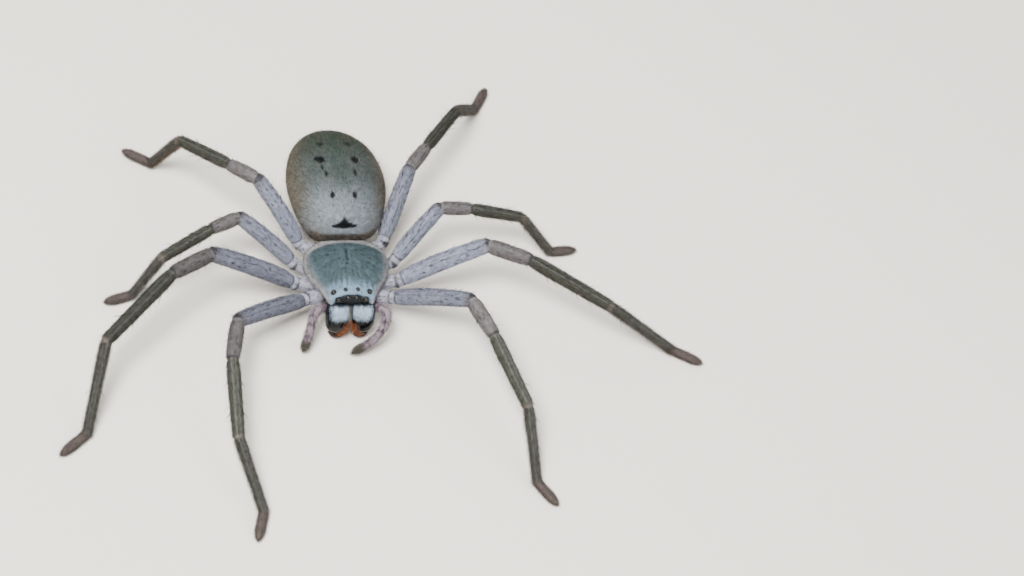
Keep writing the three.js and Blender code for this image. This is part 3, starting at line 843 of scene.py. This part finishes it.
# Hair of each kind of part: hairs on a square millimetre, length, lean off the skin in degrees, width
COAT = {
    "abdomen": (84, 0.5, 27, 0.062),
    "carapace": (98, 0.4, 16, 0.06),
    "sternum": (40, 0.6, 30, 0.06),
    "coxa": (58, 0.5, 26, 0.065),
    "femur": (60, 0.62, 22, 0.065),
    "patella": (60, 0.6, 24, 0.065),
    "tibia": (62, 0.66, 31, 0.06),
    "metatarsus": (66, 0.72, 42, 0.055),
    "tarsus": (85, 0.6, 44, 0.05),
    "palp": (80, 0.7, 38, 0.055),
    "spinneret": (60, 0.5, 30, 0.05),
}
# Long upright hairs of each kind of part: hairs on a square millimetre, and length
WHISKERS = {
    "abdomen": (2.2, 1.2), "carapace": (0.5, 0.9), "sternum": (1.0, 1.2), "coxa": (1.2, 1.3),
    "femur": (1.0, 1.6), "patella": (1.3, 1.7), "tibia": (1.9, 1.8), "metatarsus": (2.2, 1.6),
    "tarsus": (2.0, 1.0), "palp": (4.0, 1.3), "spinneret": (1.0, 0.8),
}
# Flat dark bristles of each kind of part: bristles on a square millimetre, length, width
DASHES = {
    "abdomen": (0.6, 0.5, 0.08), "carapace": (1.6, 0.42, 0.07), "coxa": (1.6, 0.6, 0.12),
    "femur": (0.9, 0.8, 0.12), "patella": (0.8, 0.7, 0.11), "tibia": (1.0, 0.6, 0.1),
    "metatarsus": (1.6, 0.5, 0.1), "tarsus": (2.0, 0.4, 0.1), "palp": (3.4, 0.5, 0.1),
}
# Stout spines of the leg segments: length, then shares along with degrees round from the left over the top
SPINES = {
    "femur": (1.7, [(0.32, 62), (0.32, 118), (0.58, 90), (0.62, 35), (0.62, 145), (0.84, 60), (0.84, 120)]),
    "patella": (1.3, [(0.5, 8), (0.5, 172)]),
    "tibia": (2.1, [
        (0.28, 5), (0.28, 175), (0.68, 5), (0.68, 175), (0.22, -52), (0.22, -128), (0.6, -52), (0.6, -128),
    ]),
    "metatarsus": (1.9, [(0.14, 5), (0.14, 175), (0.52, 5), (0.52, 175), (0.2, -50), (0.2, -130)]),
}
# Half the width of the patch that a hair takes on the unwrap, and how deep its root is
PATCH, ROOT_DEPTH = 0.0015, 0.04


def scattered(points, triangles, density):
    """Evenly scattered places on a surface, and the triangle that each lies on."""
    a, b, c = (points[triangles[:, k]] for k in range(3))
    area = np.linalg.norm(np.cross(b - a, c - a), axis=1) / 2
    total = np.cumsum(area * density)
    count = int(total[-1])
    pick = np.searchsorted(total, (np.arange(count) + rng.random(count)) * total[-1] / count)
    pick = np.minimum(pick, len(triangles) - 1)
    u, v = rng.random(count), rng.random(count)
    over = u + v > 1
    u, v = np.where(over, 1 - u, u), np.where(over, 1 - v, v)
    roots = a[pick] + u[:, None] * (b - a)[pick] + v[:, None] * (c - a)[pick]
    return roots, pick


class Hairs:
    """Thin closed spikes, collected piece by piece and then made into meshes."""

    def __init__(self):
        self.parts = []

    def add(self, roots, normals, lies, lengths, leans, widths, colours, uvs, droop=None):
        """Straight spikes, or ones of two lengths that droop along their lie."""
        count = len(roots)
        tangent = unit(lies - normals * (lies * normals).sum(1, keepdims=True))
        stray = rng.normal(0, 0.2, count)[:, None]
        tangent = unit(tangent + stray * np.cross(normals, tangent))
        lean = np.radians(leans)[:, None]
        way = np.cos(lean) * tangent + np.sin(lean) * normals
        wide = unit(np.cross(way, normals))
        thick = np.cross(way, wide)
        reach, half = lengths[:, None] * way, widths[:, None, None] / 2
        foot = roots - normals * ROOT_DEPTH
        turn = around(3)
        ring = np.cos(turn)[:, None] * wide[:, None] + 0.8 * np.sin(turn)[:, None] * thick[:, None]
        patch = np.stack([np.cos(turn), np.sin(turn)], 1) * PATCH
        tip = foot + reach
        # Each spike is painted darker toward its root, as shade deep in the coat, and lighter at its tip
        levels, shades, patches = [foot[:, None] + ring * half], [0.72], [uvs[:, None] + patch]
        if droop is not None:
            levels.append((foot + reach * 0.55)[:, None] + ring * half * 0.62)
            shades.append(0.95)
            patches.append(uvs[:, None] + patch * 0.5)
            tip = tip + (tangent - normals) * lengths[:, None] * droop
        points = np.concatenate(levels + [tip[:, None]], axis=1)
        points[..., 2] = np.maximum(points[..., 2], LOWEST_HAIR)
        shade = np.append(np.repeat(shades, 3), 1.15)
        tones = np.clip(colours[:, None] * shade[:, None], 0, 1)
        self.parts.append((points, tones, np.concatenate(patches + [uvs[:, None]], axis=1)))

    @staticmethod
    def faces(size):
        """Triangles of one spike with this many points."""
        rings = (size - 1) // 3
        rows = [[0, 2, 1]]
        for r in range(rings - 1):
            for i in range(3):
                a, b = 3 * r + i, 3 * r + (i + 1) % 3
                rows += [[a, b, b + 3], [a, b + 3, a + 3]]
        last = 3 * (rings - 1)
        rows += [[last + i, last + (i + 1) % 3, size - 1] for i in range(3)]
        return np.array(rows)

    def whole(self):
        """All spikes as points, triangles, colours and places on the unwrap."""
        start, triangles = 0, []
        for block, _, _ in self.parts:
            count, size = block.shape[:2]
            index = start + np.arange(count)[:, None, None] * size + self.faces(size)[None]
            triangles.append(index.reshape(-1, 3))
            start += count * size
        points, tones, uvs = (
            np.concatenate([values.reshape(-1, values.shape[-1]) for values in column])
            for column in zip(*self.parts)
        )
        return points, np.concatenate(triangles), tones, uvs


# How far the spider is moved onto the solids, in millimetres: the abdomen gives the midline and the tail
abdomen_low, abdomen_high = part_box("abdomen")
SHIFT = np.array([
    (abdomen_low[0] + abdomen_high[0]) / 2 * 1000, abdomen_high[1] * 1000 - ABDOMEN_REAR, 0.0,
])


def to_frame(points):
    """Spider millimetres as metres of the frame."""
    return (points + SHIFT) / 1000


def new_piece(name, points, faces, material, tones, uvs=None):
    """A mesh that rides on the body, with smooth shading, its colours and, for hair, an unwrap."""
    faces = np.asarray(faces)
    mesh = bpy.data.meshes.new(name)
    mesh.vertices.add(len(points))
    mesh.vertices.foreach_set("co", to_frame(points).astype(np.float32).ravel())
    mesh.loops.add(faces.size)
    mesh.loops.foreach_set("vertex_index", faces.astype(np.int32).ravel())
    mesh.polygons.add(len(faces))
    mesh.polygons.foreach_set("loop_start", np.arange(0, faces.size, faces.shape[1], dtype=np.int32))
    mesh.update(calc_edges=True)
    mesh.polygons.foreach_set("use_smooth", np.ones(len(faces), dtype=bool))
    layer = mesh.color_attributes.new("Markings_and_painted_light", "FLOAT_COLOR", "POINT")
    layer.data.foreach_set("color", np.c_[tones, np.ones(len(tones))].astype(np.float32).ravel())
    if uvs is not None:
        layer = mesh.uv_layers.new(name="OFBake")
        layer.data.foreach_set("uv", uvs[faces.ravel()].astype(np.float32).ravel())
    mesh.materials.append(material)
    piece = new_object(name, mesh)
    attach(piece, "root")
    return piece


def add_node(tree, kind, **values):
    """A shader node with values on its sockets, where _ stands for a space in a socket's name."""
    node = tree.nodes.new(f"ShaderNode{kind}")
    for socket, value in values.items():
        node.inputs[socket.replace("_", " ")].default_value = value
    return node


def surface_material(name, roughness, grain, relief, shine=0.5, spread=0.25):
    """A surface in the colours of its markings and painted light, mottled by a fine grain that also lifts
    it.
    """
    material = bpy.data.materials.new(name)
    material.use_nodes = True
    tree = material.node_tree
    shader = tree.nodes["Principled BSDF"]
    shader.inputs["Roughness"].default_value = roughness
    shader.inputs["Specular IOR Level"].default_value = shine
    markings = add_node(tree, "Attribute")
    markings.attribute_name = "Markings_and_painted_light"
    place = add_node(tree, "TexCoord")
    mottle = add_node(tree, "TexNoise", Scale=grain, Detail=5)
    amount = add_node(tree, "MapRange", From_Min=0.3, From_Max=0.7, To_Min=1 - spread, To_Max=1 + spread)
    tone = add_node(tree, "VectorMath")
    tone.operation = "SCALE"
    fine = add_node(tree, "TexNoise", Scale=grain * 6, Detail=3)
    bump = add_node(tree, "Bump", Strength=relief, Distance=0.00006)
    for source, output, target, socket in [
        (place, "Object", mottle, "Vector"),
        (mottle, "Fac", amount, "Value"),
        (markings, "Color", tone, "Vector"),
        (amount, "Result", tone, "Scale"),
        (tone, "Vector", shader, "Base Color"),
        (place, "Object", fine, "Vector"),
        (fine, "Fac", bump, "Height"),
        (bump, "Normal", shader, "Normal"),
    ]:
        tree.links.new(source.outputs[output], target.inputs[socket])
    return material


skin_material = surface_material("spider_skin", 0.62, 900, 0.6, shine=0.25)
coat_material = surface_material("spider_coat", 0.6, 1400, 0.2, shine=0.18, spread=0.3)
jaw_material = surface_material("spider_jaw", 0.12, 1500, 0.1, shine=0.14, spread=0.3)
horn_material = surface_material("spider_horn", 0.18, 1800, 0.12, spread=0.3)
eye_material = surface_material("spider_eye", 0.05, 2500, 0.02, shine=0.6, spread=0.5)

# The skin
flesh_points, flesh_faces = fused(*flesh())
flesh_points = relaxed(flesh_points, flesh_faces, SMOOTHING_ROUNDS)
flesh_triangles = np.concatenate([flesh_faces[:, [0, 1, 2]], flesh_faces[:, [0, 2, 3]]])
flesh_normals = point_normals(flesh_points, flesh_triangles)
flesh_points = add_relief(flesh_points, flesh_normals, Places(flesh_points).kind)
flesh_normals = point_normals(flesh_points, flesh_triangles)
# The skin carries the markings darkened by painted shade under the coat
skin_tones = Places(flesh_points).colours() * SKIN_SHADE
skin = new_piece("skin", flesh_points, flesh_faces, skin_material, skin_tones)
leg_parts = ("coxa", "femur", "patella", "tibia", "foot")
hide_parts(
    "carapace", "sternum", "abdomen", "spinnerets", "left_palp", "right_palp",
    *[f"{side}_leg_{pair}_{part}" for side in SIDES for pair in PAIRS for part in leg_parts],
)

# Each region of the coat is a piece of its own: its name, its slot, and the strips of its unwrap
LEG_STRIPS = ["femur", "patella", "tibia", "metatarsus", "tarsus"]
REGIONS = {
    "coat_abdomen_left": ("abdomen", ["abdomen", "spinneret"]),
    "coat_abdomen_right": ("abdomen", ["abdomen", "spinneret"]),
    "coat_thorax": ("carapace", ["carapace", "sternum"]),
}
for side_name in SIDES:
    REGIONS[f"coat_{side_name}_coxae"] = ("coxa", [f"coxa{pair}" for pair in PAIRS])
    REGIONS[f"coat_{side_name}_palp"] = ("palp", ["palp"])
    for pair in PAIRS:
        REGIONS[f"coat_{side_name}_leg_{pair}"] = ("femur", LEG_STRIPS)
REGION_CODE = {name: code for code, name in enumerate(REGIONS)}


def regions_of(places):
    """The coat piece that each place belongs to."""
    on_left = places.points[:, 0] > 0
    region = np.where(on_left, REGION_CODE["coat_abdomen_left"], REGION_CODE["coat_abdomen_right"])
    region[places.on("carapace", "sternum")] = REGION_CODE["coat_thorax"]
    hips = places.on("coxa")
    for name, code in limb_code.items():
        here = places.limb == code
        region[here] = REGION_CODE[f"coat_{name}"]
        region[here & hips] = REGION_CODE[f"coat_{name.split('_')[0]}_coxae"]
    return region


def inset(share, margin):
    """A share between 0 and 1, kept off both ends by a margin."""
    return margin + (1 - 2 * margin) * np.clip(share, 0, 1)


def unwrap(places, strips):
    """Places on the unwrap of the skin: a strip for each kind of part, its length across, its girth up."""
    x, y, z = places.points.T
    on_limb, on_abdomen = places.rows >= 0, places.on("abdomen")
    share = abdomen_share(y)
    middle = np.where(on_abdomen, abdomen_middle(share), 6.6)
    shell_share = (y - CARAPACE_FRONT) / (CARAPACE_REAR - CARAPACE_FRONT)
    along = np.where(on_limb, places.along, np.where(on_abdomen, share, shell_share))
    half_turn = np.abs(np.arctan2(x, z - middle)) / math.pi
    turn = np.where(on_limb, places.angle, np.arctan2(z - middle, x)) / (2 * math.pi) + 0.5
    girth = np.where(on_abdomen, half_turn, turn)
    strip = np.zeros(len(x))
    for order, name in enumerate(strips):
        here = places.on(name.rstrip("1234"))
        if name.startswith("coxa"):
            here = here & (places.limb % len(PAIRS) == int(name[-1]) - 1)
        strip[here] = order
    v = (strip + inset(girth, 0.02)) / len(strips)
    return np.stack([inset(along, 0.01), np.clip(v, 0.004, 0.996)], 1)


def table_column(table, column, kinds):
    """One column of a table of hair for the kinds at each place, with 0 for kinds that it leaves out."""
    values = np.array([table[kind][column] if kind in table else 0.0 for kind in KINDS])
    return values[kinds]


def off_the_eyes(roots):
    """Which places are clear of the eyes."""
    clear = np.ones(len(roots), bool)
    for name in EYES:
        for side in SIDES.values():
            centre, radius = eye_centre(name, side)
            clear &= np.linalg.norm(roots - centre, axis=1) > radius + BARE_ROUND_EYE
    return clear


def roots_on_skin(table):
    """Places for hair on the skin at the densities of a table, with their normals."""
    middles = flesh_points[flesh_triangles].mean(1)
    rows = segments.nearest(middles)
    density = table_column(table, 0, Places(middles, rows).kind)
    roots, pick = scattered(flesh_points, flesh_triangles, density)
    keep = off_the_eyes(roots)
    roots, pick = roots[keep], pick[keep]
    normals = unit(flesh_normals[flesh_triangles[pick]].mean(1))
    return Places(roots, rows[pick]), normals


def off_the_joints(places):
    """Which places are clear of the bare rings at the leg joints."""
    near_end = np.minimum(places.along, 1 - places.along) * places.length < BARE_JOINT
    return ~(places.on("femur", "patella", "tibia") & near_end)


coats = [Hairs() for _ in REGIONS]


def add_to_coats(places, normals, lies, lengths, leans, widths, colours, droop=None):
    """Shares hairs out among the pieces of the coat."""
    region = regions_of(places)
    for code, (_, strips) in enumerate(REGIONS.values()):
        here = np.flatnonzero(region == code)
        if not here.size:
            continue
        uvs = unwrap(places.only(here), strips)
        coats[code].add(
            places.points[here], normals[here], lies[here], lengths[here], leans[here], widths[here],
            colours[here], uvs, droop,
        )


def on_face(places):
    """Which places are on the front of the carapace, where hair is shorter."""
    return places.on("carapace") & (places.points[:, 1] < -3)


def add_pile():
    """The short coat, which carries the markings and the painted light and shade."""
    places, normals = roots_on_skin(COAT)
    keep = off_the_joints(places)
    places, normals = places.only(keep), normals[keep]
    y, z = places.points[:, 1], places.points[:, 2]
    count = len(y)
    sole = places.on("metatarsus", "tarsus") & (normals[:, 2] < -0.2)
    edge = places.on("carapace") & (z < carapace_rim(y) + 0.5)
    lengths = table_column(COAT, 1, places.kind) * rng.normal(1, 0.2, count).clip(0.5, 1.5)
    lengths[on_face(places)] *= 0.75
    leans = table_column(COAT, 2, places.kind) + rng.normal(0, 7, count)
    leans[sole] = 60
    leans[edge] += 14
    widths = table_column(COAT, 3, places.kind) * rng.uniform(0.75, 1.25, count)
    mottled = places.on("carapace", "tibia", "metatarsus", "tarsus", "palp")
    tone = rng.normal(1.0, np.where(mottled, 0.27, 0.17)).clip(0.5, 1.7)
    tone[rng.random(count) < 0.1] *= 0.5
    colours = places.colours() * tone[:, None]
    add_to_coats(places, normals, places.lies(), lengths, leans, widths, colours)


def add_whiskers():
    """Long fine hairs that stand out of the coat."""
    places, normals = roots_on_skin(WHISKERS)
    count = len(normals)
    lengths = table_column(WHISKERS, 1, places.kind) * rng.uniform(0.55, 1.25, count)
    lengths[on_face(places)] *= 0.6
    leans = rng.uniform(38, 74, count)
    dark = rng.random(count) < 0.35
    colours = np.where(dark[:, None], tint("bristle"), tint("whisker"))
    add_to_coats(places, normals, places.lies(), lengths, leans, np.full(count, 0.045), colours, droop=0.12)


def add_dashes():
    """Short dark bristles that lie flat on the upper side of the limbs and the body."""
    places, normals = roots_on_skin(DASHES)
    keep = normals[:, 2] > -0.1
    places, normals = places.only(keep), normals[keep]
    count = len(normals)
    lengths = table_column(DASHES, 1, places.kind) * rng.uniform(0.7, 1.2, count)
    leans, widths = rng.uniform(2, 14, count), table_column(DASHES, 2, places.kind)
    colours = np.broadcast_to(tint("bristle"), (count, 3))
    raised = Places(places.points + normals * 0.2, places.rows)
    add_to_coats(raised, normals, places.lies(), lengths, leans, widths, colours, droop=0.02)


def add_spines():
    """Stout dark spines in their places on the leg segments."""
    points, normals, rows, lengths = [], [], [], []
    for row, code in enumerate(segments.kind):
        length, spots = SPINES.get(KINDS[code], (0, []))
        for along, degrees in spots:
            turn = math.radians(degrees)
            out = math.cos(turn) * segments.side[row] + math.sin(turn) * segments.up[row]
            lift = segments.bow[row] * 4 * along * (1 - along)
            centre = segments.start[row] + segments.way[row] * segments.length[row] * along
            centre = centre + segments.up[row] * lift
            points.append(centre + out * (segments.radius[row] - COAT_DEPTH["leg"] - 0.05))
            normals.append(out)
            rows.append(row)
            lengths.append(length)
    places, normals = Places(np.array(points), np.array(rows)), np.array(normals)
    count = len(points)
    leans, widths = rng.uniform(30, 45, count), np.full(count, 0.15)
    lengths = np.array(lengths) * rng.uniform(0.85, 1.15, count)
    colours = np.broadcast_to(tint("spine"), (count, 3))
    add_to_coats(places, normals, places.lies(), lengths, leans, widths, colours, droop=0.08)


add_pile()
add_whiskers()
add_dashes()
add_spines()
for (name, (slot, _)), hairs in zip(REGIONS.items(), coats):
    points, triangles, tones, uvs = hairs.whole()
    new_piece(name, points, triangles, coat_material, tones=tones, uvs=uvs)


def jaw_axes(side):
    """Top, length and two directions of a chelicera: down it, and out of its front."""
    top, tip = on_side(CHELICERA_TOP, side), on_side(CHELICERA_TIP, side)
    way = unit(tip - top)
    return top, np.linalg.norm(tip - top), way, unit(np.cross(way, [1.0, 0, 0]))


def jaw_body(side):
    """The stout basal part of one chelicera, rounded off at its lower end."""
    top, length, way, front = jaw_axes(side)
    place = np.r_[np.linspace(-0.06, 1, 40), 1.012, 1.02]
    share = np.r_[curve_through(CHELICERA_SHAPE)(place[:-2]), 0.33, 0.15][:, None, None]
    turn = around(48)[:, None]
    bulge = 0.45 * np.sin(math.pi * np.clip(place + 0.15, 0, 1))
    centres = top + place[:, None] * length * way + bulge[:, None] * front
    wide = CHELICERA_HALF_WIDTH * share * np.cos(turn) * [1.0, 0, 0]
    deep = CHELICERA_HALF_DEPTH * share * np.sin(turn) * front
    return loft(centres[:, None] + wide + deep)


def jaw_place(points, side):
    """How far down a chelicera points lie, from 0 to 1, and how far to its front and its inner side."""
    top, length, way, front = jaw_axes(side)
    out = points - top
    return out @ way / length, out @ front, (points[:, 0] - CHELICERA_TOP[0] * side) * -side


def jaw_patch(down, frontal, inward):
    """How white the hair of a chelicera is: full on its upper front, none low down or on its outer side."""
    ends = fade(down, 0.58, 0.26) * fade(down, -0.02, 0.12)
    return ends * fade(frontal, 0.1, 0.7) * fade(inward, -1.9, -0.6)


def jaw_hairs(side, points, triangles, normals):
    """Blue-white hair on the upper front, black bristles, and an orange fringe inside the tip."""
    _, _, way, front = jaw_axes(side)
    hairs = Hairs()
    corners = points[triangles]
    down, _, inward = jaw_place(corners.mean(1), side)
    facing = unit(np.cross(corners[:, 1] - corners[:, 0], corners[:, 2] - corners[:, 0]))
    frontal, inner = facing @ front, facing[:, 0] * -side
    patch = jaw_patch(down, frontal, inward)
    sheen_end = fade(frontal, 0.0, 0.5) * fade(down, 0.62, 0.46)
    gap_side = fade(down, 0.5, 0.85) * fade(inner, 0.4, 0.85)
    tip = fade(down, 0.86, 0.97)
    # Hairs on a square millimetre, length, lean, width, colour and how much the colour varies
    layers = [
        (patch * 150, 0.36, 14, 0.05, "jaw_hair", 0.5),
        (sheen_end * 34, 0.34, 14, 0.05, "jaw_grey", 0.6),
        (sheen_end * 16, 0.4, 14, 0.06, "bristle", 0.6),
        (gap_side * 50, 1.6, 50, 0.05, "fringe", 0.9),
        (gap_side * 18, 1.3, 50, 0.05, "bristle", 0.9),
        (tip * fade(inward, 0.1, 0.9) * 60, 1.7, 30, 0.05, "fringe", 0.9),
    ]
    for density, length, lean, width, colour, spread in layers:
        roots, pick = scattered(points, triangles, density)
        count = len(roots)
        girth = np.arctan2((roots - roots.mean(0)) @ front, roots[:, 0] - 2.3 * side) / (2 * math.pi) + 0.5
        uvs = np.stack([inset(jaw_place(roots, side)[0], 0.01), inset(girth, 0.01)], 1)
        tone = rng.normal(1, spread / 2, count).clip(0.5, 1.4)
        hairs.add(
            roots, unit(normals[triangles[pick]].mean(1)), np.broadcast_to(way, (count, 3)),
            length * rng.uniform(0.6, 1.2, count), lean + rng.normal(0, 8, count), np.full(count, width),
            tint(colour) * tone[:, None], uvs, droop=0.08,
        )
    return hairs


def add_jaws(side_name):
    """One chelicera with its hair, and its fang folded in under it."""
    side = SIDES[side_name]
    points, triangles = jaw_body(side)
    normals = point_normals(points, triangles)
    down, _, inward = jaw_place(points, side)
    patch = jaw_patch(down, normals @ jaw_axes(side)[3], inward)
    tones = painted(len(points), "jaw", [
        ("fang", 0.5 * fade(down, 0.85, 1.0) * fade(inward, 0.2, 1.0)),
        ("jaw_hair", 0.45 * patch),
    ])
    jaw = new_piece(f"{side_name}_jaw", points, triangles, jaw_material, tones)
    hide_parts(f"{side_name}_chelicera")
    points, triangles, tones, uvs = jaw_hairs(side, points, triangles, normals).whole()
    new_piece(f"coat_{side_name}_jaw", points, triangles, coat_material, tones, uvs)
    share = np.linspace(0, 1, FANG_POINTS)
    radii = curve_through([[0, 0.5], [0.5, 0.4], [0.8, 0.26], [1, 0.05]])(share)
    points, triangles = tube_along(smooth_path(on_side(FANG_PATH, side), FANG_POINTS), radii, LIMB_SIDES)
    span = np.r_[np.repeat(share, LIMB_SIDES), 0.0, 1.0]
    tones = painted(len(span), "fang", [("fang_tip", fade(span, 0.45, 0.95))])
    fang = new_piece(f"{side_name}_fang_horn", points, triangles, horn_material, tones)
    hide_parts(f"{side_name}_fang")


def carapace_normal(x, y):
    """The direction straight out of the carapace."""
    step = 0.05
    slope_x = (carapace_height(x + step, y) - carapace_height(x - step, y)) / (2 * step)
    slope_y = (carapace_height(x, y + step) - carapace_height(x, y - step)) / (2 * step)
    return unit(np.array([-slope_x, -slope_y, 1.0]))


def add_eye(name, side_name):
    """A clear dark lens in a low rim."""
    centre, radius = eye_centre(name, SIDES[side_name])
    out = carapace_normal(centre[0], centre[1])
    turn = np.linspace(0.02, math.pi - 0.02, 24)
    ball = tube_along(centre - radius * np.cos(turn)[:, None] * out, radius * np.sin(turn), 32, out)
    bend = np.linspace(0, 2 * math.pi, 13)
    rim_path = centre + (0.05 * radius + 0.07 * np.sin(bend))[:, None] * out
    rim = tube_along(rim_path, radius + 0.01 + 0.07 * np.cos(bend), 32, out)
    points, triangles = joined([ball, rim])
    tones = np.tile(tint("jaw") * 0.6, (len(points), 1))
    eye = new_piece(f"lens_{name}_{side_name}", points, triangles, eye_material, tones)
    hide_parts(f"eye_{name}_{side_name}")


def add_claws(limb):
    """The pair of small hooks in the hair of a foot."""
    toe, way = claw_places[limb]
    side, up = (axis[0] for axis in across_axes(way[None]))
    bodies, bends = [], [(0, 0), (0.45, 0.12), (0.8, -0.08), (0.9, -0.42)]
    for offset in (-0.18, 0.18):
        start = toe + side * offset - way * 0.25 + up * 0.05
        path = smooth_path([start + way * out + up * rise for out, rise in bends], 14)
        path[:, 2] = np.maximum(path[:, 2], LOWEST_CLAW)
        bodies.append(tube_along(path, np.linspace(0.1, 0.02, 14), 10))
    points, triangles = joined(bodies)
    tones = np.tile(tint("spine"), (len(points), 1))
    new_piece(f"{limb}_claws", points, triangles, horn_material, tones)


for side_name in SIDES:
    add_jaws(side_name)
    for name in EYES:
        add_eye(name, side_name)
for limb in claw_places:
    add_claws(limb)

# The camera of the photograph: it looks down on the spider's front left, rolled against its floor
CAMERA_RISE, CAMERA_TURN, CAMERA_ROLL = math.radians(54.5), math.radians(-24.5), math.radians(19.0)
CAMERA_DISTANCE = 420
FOCAL_PIXELS = 2413.8
FRAME_WIDTH, FRAME_HEIGHT = 1024, 576
SENSOR_WIDTH = 36
# A point of the spider over its middle, and the pixel where the photograph shows it
AIM = np.array([-0.36, 0.0, 8.0])
AIM_PIXEL = (346, 272)


def camera_axes():
    """Right, up and back of the camera."""
    back = np.array([
        math.sin(CAMERA_TURN) * math.cos(CAMERA_RISE), -math.cos(CAMERA_TURN) * math.cos(CAMERA_RISE),
        math.sin(CAMERA_RISE),
    ])
    level = np.array([math.cos(CAMERA_TURN), math.sin(CAMERA_TURN), 0])
    upright = np.cross(back, level)
    right = level * math.cos(CAMERA_ROLL) + upright * math.sin(CAMERA_ROLL)
    return right, np.cross(back, right), back


def pose_matrix(*columns):
    """The matrix of an object from its right, up and back directions and its place."""
    matrix = np.eye(4)
    matrix[:3] = np.stack(columns, 1)
    return Matrix(matrix.tolist())


def add_camera():
    """The camera, set so that the aimed point falls on its pixel."""
    right, up, back = camera_axes()
    pixel_x = (AIM_PIXEL[0] - FRAME_WIDTH / 2) / FOCAL_PIXELS
    pixel_y = (AIM_PIXEL[1] - FRAME_HEIGHT / 2) / FOCAL_PIXELS
    place = AIM - CAMERA_DISTANCE * (pixel_x * right - pixel_y * up - back)
    camera = bpy.data.cameras.new("photo_camera")
    camera.sensor_width = SENSOR_WIDTH
    camera.lens = FOCAL_PIXELS * SENSOR_WIDTH / FRAME_WIDTH
    camera.clip_start, camera.clip_end = 0.01, 20
    viewer = new_object("photo_camera", camera)
    viewer.matrix_world = pose_matrix(right, up, back, to_frame(place))
    bpy.context.scene.camera = viewer


def add_light(name, direction, distance, size, watts, colour):
    """A square soft light that faces the spider."""
    lamp = bpy.data.lights.new(name, "AREA")
    lamp.size = size
    lamp.energy = watts
    lamp.color = colour
    direction = unit(np.array(direction, float))
    side, up = across_axes(-direction[None])
    new_object(name, lamp).matrix_world = pose_matrix(-side[0], up[0], direction, direction * distance)


def add_floor():
    """A wide pale floor, a hair below the soles."""
    reach, drop = 3.0, -0.00002
    mesh = bpy.data.meshes.new("floor")
    corners = [(-reach, -reach, drop), (reach, -reach, drop), (reach, reach, drop), (-reach, reach, drop)]
    mesh.from_pydata(corners, [], [(0, 1, 2, 3)])
    floor = new_object("floor", mesh)
    material = bpy.data.materials.new("floor")
    material.use_nodes = True
    shader = material.node_tree.nodes["Principled BSDF"]
    shader.inputs["Base Color"].default_value = (0.93, 0.88, 0.8, 1)
    shader.inputs["Roughness"].default_value = 0.85
    mesh.materials.append(material)


def add_world():
    """Even pale light from all round."""
    world = bpy.data.worlds.new("studio")
    world.use_nodes = True
    background = world.node_tree.nodes["Background"]
    background.inputs["Color"].default_value = (0.95, 0.97, 1.0, 1)
    background.inputs["Strength"].default_value = 0.42
    bpy.context.scene.world = world


right, up, back = camera_axes()
add_camera()
add_light("key_light", back + 0.3 * up - 0.12 * right, 0.6, 0.24, 8.2, (1.0, 0.985, 0.96))
add_light("fill_light", 0.6 * back + 0.9 * right - 0.1 * up, 0.7, 0.5, 2.4, (0.96, 0.98, 1.0))
add_light("back_light", (0.3, 1.0, 0.9), 0.7, 0.5, 1.4, (1.0, 0.98, 0.96))
add_floor()
add_world()
